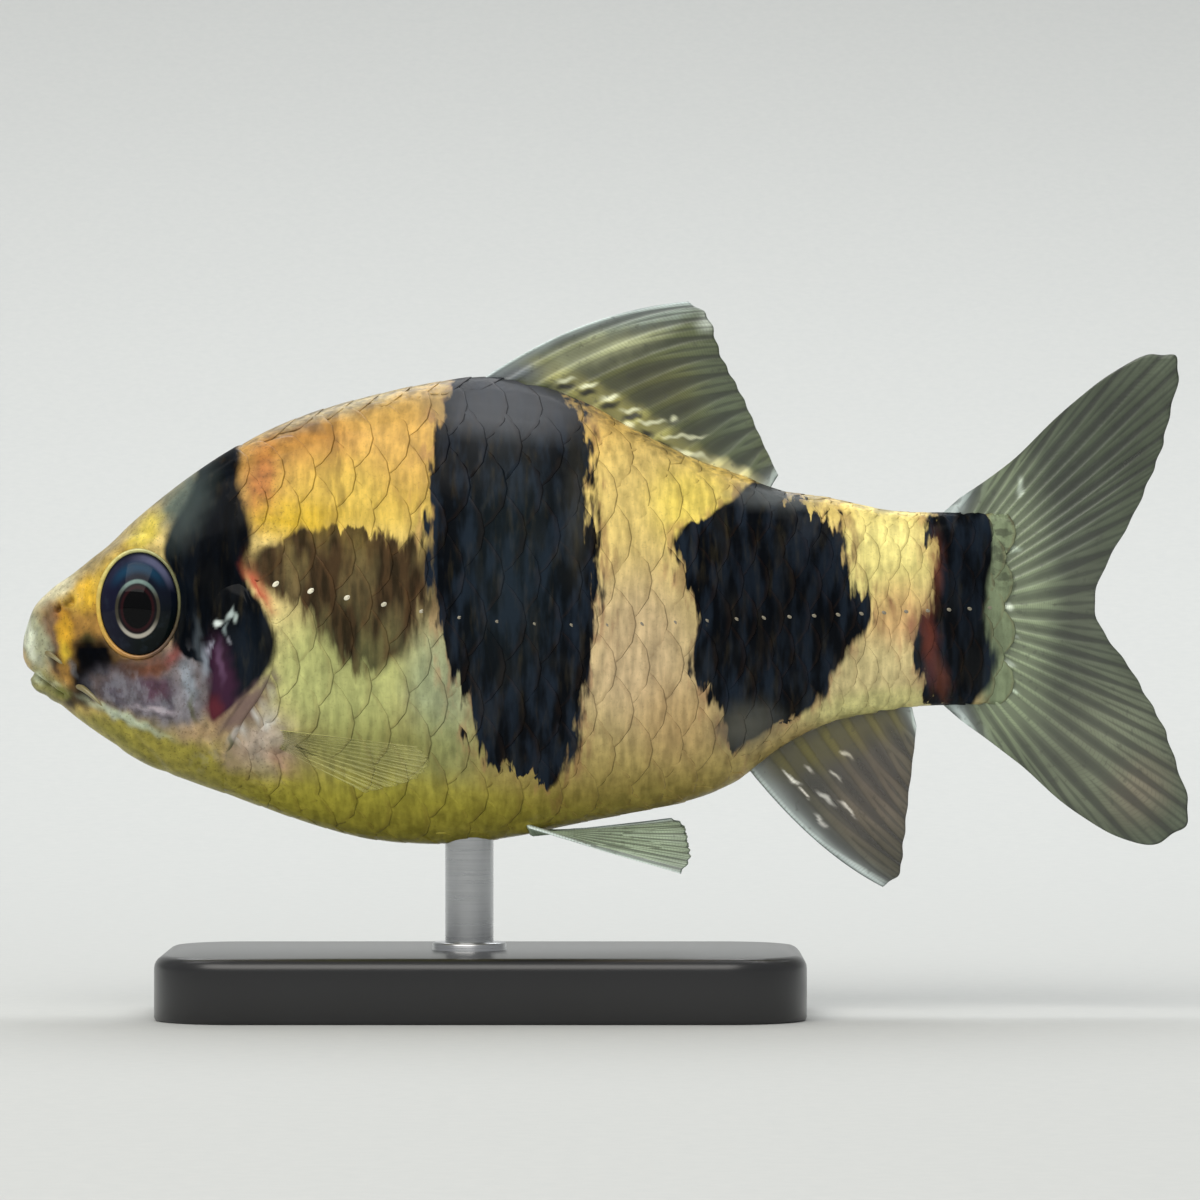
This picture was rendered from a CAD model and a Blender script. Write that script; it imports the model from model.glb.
"""A melon barb model on its display stand: wet skin, overlapping scales, clear rayed fins and a steel rod.

Lengths are in millimetres until world() turns them into metres. A place on the fish is given as
millimetres behind the snout tip, out from the middle plane, and above the body's axis.
"""

import math

import bmesh
import bpy
import numpy as np
from mathutils import Matrix, Vector

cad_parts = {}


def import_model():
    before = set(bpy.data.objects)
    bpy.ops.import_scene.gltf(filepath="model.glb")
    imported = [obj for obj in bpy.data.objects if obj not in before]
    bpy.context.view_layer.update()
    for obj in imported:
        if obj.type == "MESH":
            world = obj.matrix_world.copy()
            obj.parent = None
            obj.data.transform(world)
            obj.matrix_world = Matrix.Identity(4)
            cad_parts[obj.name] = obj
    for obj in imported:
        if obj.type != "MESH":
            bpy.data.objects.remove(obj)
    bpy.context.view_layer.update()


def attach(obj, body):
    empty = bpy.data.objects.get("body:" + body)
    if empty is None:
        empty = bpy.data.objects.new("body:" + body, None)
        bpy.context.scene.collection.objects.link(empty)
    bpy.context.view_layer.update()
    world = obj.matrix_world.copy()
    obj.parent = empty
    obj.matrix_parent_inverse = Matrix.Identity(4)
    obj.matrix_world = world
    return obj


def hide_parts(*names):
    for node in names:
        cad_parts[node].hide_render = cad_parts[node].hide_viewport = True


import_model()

# The room: a pale paper sweep that runs from under the stand up behind the fish, lit by a large soft box in
# front, two smaller ones at the sides, and strips over the back and the paper. The camera is level with the
# fish.
MM = 0.001
VIEW_CENTRE = (-0.31, 0.0, 25.74)
VIEW_WIDTH = 74.6
LENS = 200.0
SENSOR = 36.0
SWEEP_WIDTH = 3600.0
SWEEP_FRONT = -1400.0
SWEEP_BEND = 160.0
SWEEP_RADIUS = 950.0
SWEEP_HEIGHT = 900.0
SWEEP_STEPS = 24
# Each light: place, what it aims at, size along and across, watts, colour.
LIGHTS = {
    "key_light": ((-150.0, -440.0, 500.0), VIEW_CENTRE, 680.0, 460.0, 3.1, (1.0, 0.97, 0.92)),
    "snout_light": ((-520.0, -150.0, 120.0), VIEW_CENTRE, 260.0, 260.0, 0.6, (1.0, 0.98, 0.95)),
    "fill_light": ((300.0, -520.0, 40.0), VIEW_CENTRE, 400.0, 300.0, 0.9, (0.96, 0.98, 1.0)),
    "back_light": ((60.0, 330.0, 460.0), VIEW_CENTRE, 560.0, 360.0, 1.9, (0.96, 0.98, 1.0)),
    "paper_light": ((0.0, 300.0, 1000.0), (0.0, 1000.0, 300.0), 1400.0, 300.0, 5.0, (1.0, 1.0, 1.0)),
}
# The two side lights only lift the shade, so they leave no shine of their own.
NO_SHINE = ("snout_light", "fill_light")
ROOM_LIGHT = 0.42


def shaded_material(name, roughness=0.5, metallic=0.0, coat=0.0, coat_roughness=0.03):
    """A material with its node tree and its Principled shader."""
    material = bpy.data.materials.new(name)
    material.use_nodes = True
    tree = material.node_tree
    shader = tree.nodes.get("Principled BSDF")
    shader.inputs["Roughness"].default_value = roughness
    shader.inputs["Metallic"].default_value = metallic
    shader.inputs["Coat Weight"].default_value = coat
    shader.inputs["Coat Roughness"].default_value = coat_roughness
    return material, tree, shader


def wire(tree, kind, inputs=None, **settings):
    """A node with its settings made and its inputs either linked or given a value."""
    node = tree.nodes.new(kind)
    for name, value in settings.items():
        setattr(node, name, value)
    for key, value in (inputs or {}).items():
        if isinstance(value, bpy.types.NodeSocket):
            tree.links.new(value, node.inputs[key])
        else:
            node.inputs[key].default_value = value
    return node


def object_place(tree):
    return wire(tree, "ShaderNodeTexCoord").outputs["Object"]


def noise(tree, place, scale, detail):
    pattern = wire(tree, "ShaderNodeTexNoise", {"Vector": place, "Scale": scale, "Detail": detail})
    return pattern.outputs["Fac"]


def blend_colour(tree, share, first, second):
    return wire(tree, "ShaderNodeMix", {0: share, 6: first, 7: second}, data_type="RGBA").outputs[2]


def pigment(red, green, blue):
    """A colour as the eye reads it, 0 to 255, in the light values that shaders take."""
    shares = np.array((red, green, blue), float) / 255
    light = np.where(shares <= 0.04045, shares / 12.92, ((shares + 0.055) / 1.055) ** 2.4)
    return (*light.tolist(), 1.0)


def link_object(name, data):
    obj = bpy.data.objects.new(name, data)
    bpy.context.scene.collection.objects.link(obj)
    return obj


def mesh_from(name, source):
    """A mesh from a bmesh, shaded smooth."""
    mesh = bpy.data.meshes.new(name)
    source.to_mesh(mesh)
    source.free()
    mesh.shade_smooth()
    return mesh


def only(kind, items):
    """The points, edges or faces among the items that an operator gives back."""
    return [item for item in items if isinstance(item, kind)]


camera = link_object("camera", bpy.data.cameras.new("camera"))
camera.data.lens = LENS
camera.data.sensor_width = SENSOR
camera.data.clip_start = 0.01
view_distance = VIEW_WIDTH * LENS / SENSOR
camera.location = (Vector(VIEW_CENTRE) - Vector((0.0, view_distance, 0.0))) * MM
camera.rotation_euler = (math.pi / 2, 0.0, 0.0)
bpy.context.scene.camera = camera
bpy.context.scene.view_settings.view_transform = "Standard"

for light_name, (place, target, length, width, watts, colour) in LIGHTS.items():
    light = link_object(light_name, bpy.data.lights.new(light_name, "AREA"))
    light.data.shape = "RECTANGLE"
    light.data.size = length * MM
    light.data.size_y = width * MM
    light.data.energy = watts
    light.data.color = colour
    light.visible_glossy = light_name not in NO_SHINE
    light.location = Vector(place) * MM
    light.rotation_euler = (Vector(target) - Vector(place)).to_track_quat("-Z", "Y").to_euler()

world_shade = bpy.data.worlds.new("room")
world_shade.use_nodes = True
world_shade.node_tree.nodes["Background"].inputs["Color"].default_value = (0.86, 0.88, 0.9, 1.0)
world_shade.node_tree.nodes["Background"].inputs["Strength"].default_value = ROOM_LIGHT
bpy.context.scene.world = world_shade

sweep = bmesh.new()
front_edge = bmesh.ops.create_grid(sweep, x_segments=1, y_segments=1, size=0.5)["verts"]
bmesh.ops.delete(sweep, geom=[v for v in front_edge if v.co.y > 0], context="VERTS")
for vert in sweep.verts:
    vert.co = Vector((math.copysign(SWEEP_WIDTH / 2, vert.co.x), SWEEP_FRONT, 0.0)) * MM
run = bmesh.ops.extrude_edge_only(sweep, edges=sweep.edges[:])["geom"]
floor_run = (0.0, (SWEEP_BEND - SWEEP_FRONT) * MM, 0.0)
bmesh.ops.translate(sweep, verts=only(bmesh.types.BMVert, run), vec=floor_run)
bend = bmesh.ops.spin(
    sweep, geom=only(bmesh.types.BMEdge, run), cent=(0.0, SWEEP_BEND * MM, SWEEP_RADIUS * MM),
    axis=(1.0, 0.0, 0.0), angle=math.pi / 2, steps=SWEEP_STEPS,
)["geom_last"]
rise = bmesh.ops.extrude_edge_only(sweep, edges=only(bmesh.types.BMEdge, bend))["geom"]
bmesh.ops.translate(sweep, verts=only(bmesh.types.BMVert, rise), vec=(0.0, 0.0, SWEEP_HEIGHT * MM))
bmesh.ops.recalc_face_normals(sweep, faces=sweep.faces[:])
sweep_mesh = mesh_from("paper_sweep", sweep)
paper, paper_tree, paper_shader = shaded_material("pale_paper", roughness=0.9)
paper_grain = noise(paper_tree, object_place(paper_tree), 900.0, 3.0)
paper_tone = blend_colour(paper_tree, paper_grain, pigment(186, 188, 186), pigment(194, 195, 192))
paper_tree.links.new(paper_tone, paper_shader.inputs["Base Color"])
sweep_mesh.materials.append(paper)
paper_sweep = link_object("paper_sweep", sweep_mesh)

# The body: one skin from the lips to the tail, thin over the muscles, wet and smooth on the head. On the real
# fish it carries the colour cells under the scales, so its markings are the scales' own.
SNOUT_X = -36.13
AXIS_Z = 24.5
# Behind the snout, top, bottom, half width, fullness of the section (2 is an ellipse).
BODY_STATIONS = (
    (0.1, -0.2, -2.5, 0.9, 2.2),  # upper lip
    (0.6, 0.7, -3.8, 1.5, 2.3),  # lower lip
    (1.6, 1.8, -4.6, 2.1, 2.4),  # snout
    (3.1, 2.9, -5.9, 2.8, 2.4),  # nostrils
    (4.7, 4.2, -7.1, 3.3, 2.4),  # front of the eye
    (7.5, 6.7, -8.9, 3.9, 2.4),  # middle of the eye
    (10.3, 8.9, -10.0, 4.4, 2.3),  # cheek
    (13.4, 10.9, -11.1, 4.8, 2.2),  # gill cover
    (17.7, 12.8, -12.6, 5.2, 2.1),  # pectoral fin
    (21.5, 13.9, -13.6, 5.4, 2.1),  # shoulder
    (25.8, 14.8, -13.9, 5.6, 2.1),  # deepest belly
    (28.2, 15.1, -13.8, 5.6, 2.1),  # start of the dorsal fin
    (30.2, 15.0, -13.5, 5.5, 2.1),  # pelvic fin
    (34.5, 13.7, -12.6, 5.1, 2.1),  # middle of the dorsal fin
    (38.2, 11.7, -11.9, 4.6, 2.1),  # rear belly
    (42.0, 9.9, -11.0, 4.0, 2.0),  # vent
    (44.6, 9.0, -9.8, 3.6, 2.0),  # start of the anal fin
    (46.6, 8.2, -8.2, 3.2, 2.0),  # end of the dorsal fin
    (50.1, 7.6, -6.4, 2.7, 2.0),  # middle of the anal fin
    (54.1, 6.8, -5.6, 2.2, 2.0),  # tail stalk
    (57.2, 6.7, -5.3, 1.8, 2.0),  # start of the tail fin
    (58.8, 6.7, -5.3, 1.2, 2.0),
    (60.2, 6.7, -5.3, 0.5, 2.0),  # end of the backbone
)
BELLY_FULLNESS = 0.15
NOSE_LENGTH = 0.7
PADDLE_START = 57.2
PADDLE_LENGTH = 3.0
PADDLE_SQUARENESS = 4.0
TAIL_TIP = 60.18
# The rear edge of the gill cover: above the axis, behind the snout. Scales start behind it.
GILL_EDGE = (
    (-13.0, 12.6),
    (-9.3, 12.9),
    (-6.2, 14.0),
    (-4.6, 15.1),
    (-3.0, 15.8),
    (-1.2, 15.9),
    (0.6, 15.5),
    (2.8, 14.7),
    (5.0, 14.1),
    (8.1, 13.6),
    (13.0, 13.5),
)
SKIN_SEGMENTS = 240
SKIN_RINGS = np.concatenate([
    (0.0, 0.008, 0.03, 0.07, 0.12, 0.19, 0.27, 0.36, 0.46, 0.57),
    np.arange(0.69, 17.0, 0.13),
    np.arange(17.2, 56.0, 0.42),
    np.arange(56.2, 60.1, 0.2),
    (60.12, 60.16, TAIL_TIP),
])
COAT_DEPTH = 0.22

EYE = (7.38, 1.0)
EYE_RIM = (2.55, 3.35)
EYE_BALL_OUT = 1.95
EYE_BALL = (2.95, 2.3, 3.95)
EYE_TURN = math.radians(13)
EYE_TILT = math.radians(7)
MOUTH_FRONT = np.array((-0.4, -2.65))
MOUTH_CORNER = np.array((2.5, -4.7))
LIP_FOLD_TOP = np.array((1.45, 0.5))
LIP_FOLD_FOOT = np.array((2.75, -4.6))
# The edges of the cheek's bones and the wrinkles by the lips: start, end, half width, height.
CHEEK_FOLDS = (
    ((4.5, -5.0), (8.9, -7.0), 0.2, 0.09),
    ((4.9, -4.4), (9.2, -6.1), 0.12, -0.06),
    ((7.0, -5.2), (9.8, -5.6), 0.14, 0.06),
    ((5.6, -3.2), (9.6, -2.9), 0.12, -0.05),
    ((10.5, -2.4), (10.1, -6.2), 0.14, 0.06),
    ((2.9, -2.2), (3.5, -5.4), 0.1, -0.08),
    ((2.4, -1.6), (3.0, -4.6), 0.08, -0.05),
    ((1.0, 0.9), (1.7, -2.4), 0.08, -0.04),
    ((2.2, -5.4), (6.4, -8.2), 0.12, -0.07),
)
NOSTRILS = ((2.25, 0.75, 0.2), (3.0, 1.15, 0.26))
# The fleshy roots of the pectoral and pelvic fins: behind the snout, out, above the axis, size, height.
FIN_ROOTS = ((15.7, 4.4, -7.3, 1.15, 0.5), (31.3, 1.5, -13.3, 1.3, 0.4))
MERGE_WITHIN = 0.0002


def smooth(table, places):
    """The values of a table at places between its rows, on a curve through every row."""
    rows = np.array(table, float)
    knots, values = rows[:, 0], rows[:, 1:]
    slopes = np.gradient(values, knots, axis=0)
    places = np.asarray(places, float)
    low = np.clip(np.searchsorted(knots, places) - 1, 0, len(knots) - 2)
    step = (knots[low + 1] - knots[low])[..., None]
    t = np.clip((places[..., None] - knots[low][..., None]) / step, 0.0, 1.0)
    return (
        (2 * t**3 - 3 * t**2 + 1) * values[low]
        + (t**3 - 2 * t**2 + t) * step * slopes[low]
        + (3 * t**2 - 2 * t**3) * values[low + 1]
        + (t**3 - t**2) * step * slopes[low + 1]
    )


def ease(value):
    """0 below 0, 1 above 1, and a soft slope between."""
    value = np.clip(value, 0.0, 1.0)
    return value * value * (3 - 2 * value)


def bump(distance, width):
    return np.exp(-((distance / width) ** 2))


def world(back, out, up):
    return np.stack(np.broadcast_arrays(SNOUT_X + back, out, AXIS_Z + up), axis=-1) * MM


def section(back):
    """Middle height, half height, half width and fullness of the body at places along it."""
    top, bottom, half_width, fullness = np.moveaxis(smooth(BODY_STATIONS, back), -1, 0)
    nose = np.sqrt(1 - (1 - np.clip(back / NOSE_LENGTH, 0.0, 1.0)) ** 2)
    past = np.clip((back - PADDLE_START) / PADDLE_LENGTH, 0.0, 0.999)
    paddle = (1 - past**PADDLE_SQUARENESS) ** (1 / PADDLE_SQUARENESS)
    return (top + bottom) / 2, (top - bottom) / 2 * nose * paddle, half_width * nose, fullness


def swell(wave, power):
    """A sine or cosine with its sign kept and its size raised to a power."""
    return np.sign(wave) * np.abs(wave) ** power


def body_place(back, turn):
    """Out and up of the body's surface. A turn of 0 is the back, pi the belly, and its sign is the side."""
    middle, half_height, half_width, fullness = section(back)
    power = 2 / (fullness + np.where(np.cos(turn) < 0, BELLY_FULLNESS, 0.0))
    out = np.maximum(half_width, 0.0) * swell(np.sin(turn), power)
    return out, middle + np.maximum(half_height, 0.0) * swell(np.cos(turn), power)


def skin_out(back, up):
    """How far out the body's surface lies at a height."""
    middle, half_height, half_width, fullness = section(np.asarray(back, float))
    fullness = fullness + np.where(up < middle, BELLY_FULLNESS, 0.0)
    share = np.clip(np.abs(up - middle) / half_height, 0.0, 1.0)
    return half_width * (1 - share**fullness) ** (1 / fullness)


def gill_edge(up):
    return smooth(GILL_EDGE, up)[..., 0]


def eye_distance(back, up):
    """1 on the rim of the eye, 0 at its centre."""
    return np.hypot((back - EYE[0]) / EYE_RIM[0], (up - EYE[1]) / EYE_RIM[1])


def eye_frame(side):
    """How an eye is turned: its second axis is its look, a little forward and up."""
    return Matrix.Rotation(EYE_TURN * side, 3, "Z") @ Matrix.Rotation(EYE_TILT * side, 3, "X")


def eye_out(back, up):
    """How far out the eyeball's surface lies."""
    squash = np.diag([1 / radius for radius in EYE_BALL]) @ np.array(eye_frame(1)).T
    aside = np.stack([back - EYE[0], np.zeros_like(back), up - EYE[1]], axis=-1) @ squash.T
    ahead = squash[:, 1]
    half = aside @ ahead
    inner = np.maximum(half**2 - ahead @ ahead * ((aside**2).sum(axis=-1) - 1), 0.0)
    return EYE_BALL_OUT + (np.sqrt(inner) - half) / (ahead @ ahead)


def socket_out(back, out, up):
    """The skin's distance out near an eye: it meets the ball at the rim and turns in behind it."""
    around = np.maximum(eye_distance(back, up), 0.01)
    rim_back, rim_up = EYE[0] + (back - EYE[0]) / around, EYE[1] + (up - EYE[1]) / around
    near = (1 - ease((around - 1.0) / 0.36)) * (np.abs(out) > 1.0)
    met = np.abs(out) + (eye_out(rim_back, rim_up) + 0.16 - np.abs(out)) * near
    inside = ease((0.99 - around) / 0.08)
    return np.sign(out) * (met - 1.1 * inside)


def along_and_off(start, end, back, up):
    """How far a place is along a line in the side view, as a share of it, and how far off it, upwards."""
    run = end - start
    length = np.hypot(*run)
    unit = run / length
    along = ((back - start[0]) * unit[0] + (up - start[1]) * unit[1]) / length
    return along, -(back - start[0]) * unit[1] + (up - start[1]) * unit[0]


def skin_relief(back, out, up):
    """How far the skin stands out from the plain body: lips, folds, nostrils, the eye's rim and fin roots."""
    along, off = along_and_off(MOUTH_FRONT, MOUTH_CORNER, back, up)
    in_mouth = ease((1.06 - along) / 0.1)
    relief = -0.5 * bump(off, 0.13) * in_mouth
    relief += 0.2 * bump(off - 0.62, 0.42) * in_mouth
    relief += 0.2 * bump(off + 0.52, 0.38) * ease((1.1 - along) / 0.25)
    fold_along, fold_off = along_and_off(LIP_FOLD_TOP, LIP_FOLD_FOOT, back, up)
    on_fold = ease((fold_along + 0.1) / 0.2) * ease((1.05 - fold_along) / 0.1)
    relief -= 0.17 * bump(fold_off, 0.17) * on_fold
    relief += 0.07 * bump(fold_off - 0.45, 0.3) * on_fold
    for place_back, place_up, radius in NOSTRILS:
        distance = np.hypot(back - place_back, (up - place_up) * 0.85)
        relief += 0.1 * bump(distance - radius * 1.75, 0.13) - 0.5 * bump(distance, radius)
    around = eye_distance(back, up)
    relief += 0.08 * bump(around - 1.16, 0.08) - 0.07 * bump(around - 1.34, 0.07)
    # The bony ridge before the gill cover, and the groove under the cheek.
    ridge = bump(back - 10.9 - 0.02 * (up + 4) ** 2, 0.35)
    relief += 0.14 * ridge * ease((0.5 - up) / 1.5) * ease((up + 7.5) / 1)
    groove = bump(back - 6.4 + 0.9 * (up + 6.5), 0.35)
    relief -= 0.12 * groove * ease((-4.0 - up) / 1.0) * ease((9.5 - back) / 1)
    for start, end, width, lift in CHEEK_FOLDS:
        fold_along, fold_off = along_and_off(np.array(start), np.array(end), back, up)
        bowed = fold_off + 0.5 * fold_along * (1 - fold_along)
        relief += lift * bump(bowed, width) * ease((0.5 - abs(fold_along - 0.5)) / 0.15)
    for root_back, root_out, root_up, size, lift in FIN_ROOTS:
        gap = np.sqrt((back - root_back) ** 2 + (np.abs(out) - root_out) ** 2 + (up - root_up) ** 2)
        relief += lift * bump(gap, size)
    return relief - COAT_DEPTH * ease((back - gill_edge(np.clip(up, -13.0, 13.0)) + 0.3) / 0.7)


def read_points(mesh):
    values = np.empty(len(mesh.vertices) * 3, np.float32)
    mesh.vertices.foreach_get("co", values)
    return values.reshape(-1, 3).astype(float)


def write_points(mesh, points):
    mesh.vertices.foreach_set("co", np.ascontiguousarray(points, np.float32).ravel())
    mesh.update()


def close_up(mesh, merge=True):
    """Merges points that all but meet and turns the faces outwards."""
    source = bmesh.new()
    source.from_mesh(mesh)
    if merge:
        bmesh.ops.remove_doubles(source, verts=source.verts[:], dist=MERGE_WITHIN * MM)
    bmesh.ops.recalc_face_normals(source, faces=source.faces[:])
    source.to_mesh(mesh)
    source.free()
    mesh.shade_smooth()


def sheets(name, columns, rows):
    """Two like grids of faces, one for each side of a thin piece, with each point's shares of the way along
    and across them, and its side, 1 or -1."""
    pair = bmesh.new()
    bmesh.ops.create_grid(pair, x_segments=columns, y_segments=rows, size=0.5)
    copy = bmesh.ops.duplicate(pair, geom=pair.verts[:] + pair.edges[:] + pair.faces[:])["geom"]
    bmesh.ops.translate(pair, verts=only(bmesh.types.BMVert, copy), vec=(0.0, 0.0, -1.0))
    bmesh.ops.reverse_faces(pair, faces=only(bmesh.types.BMFace, copy))
    mesh = mesh_from(name, pair)
    grid = read_points(mesh)
    along, across = (np.clip(grid[:, axis] + 0.5, 0, 1) for axis in (0, 1))
    return mesh, along, across, np.where(grid[:, 2] < -0.5, -1, 1)


def store(mesh, name, colours):
    """Keeps a colour at each point of a mesh, for the materials."""
    layer = mesh.color_attributes.new(name, "FLOAT_COLOR", "POINT")
    layer.data.foreach_set("color", np.ascontiguousarray(colours, np.float32).ravel())


def keep_form(mesh, *values):
    """Keeps up to four numbers at each point of a mesh, for the materials."""
    columns = [np.broadcast_to(value, len(mesh.vertices)) for value in values]
    columns += [np.zeros(len(mesh.vertices))] * (4 - len(columns))
    store(mesh, "form", np.stack(columns, axis=-1))


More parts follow.
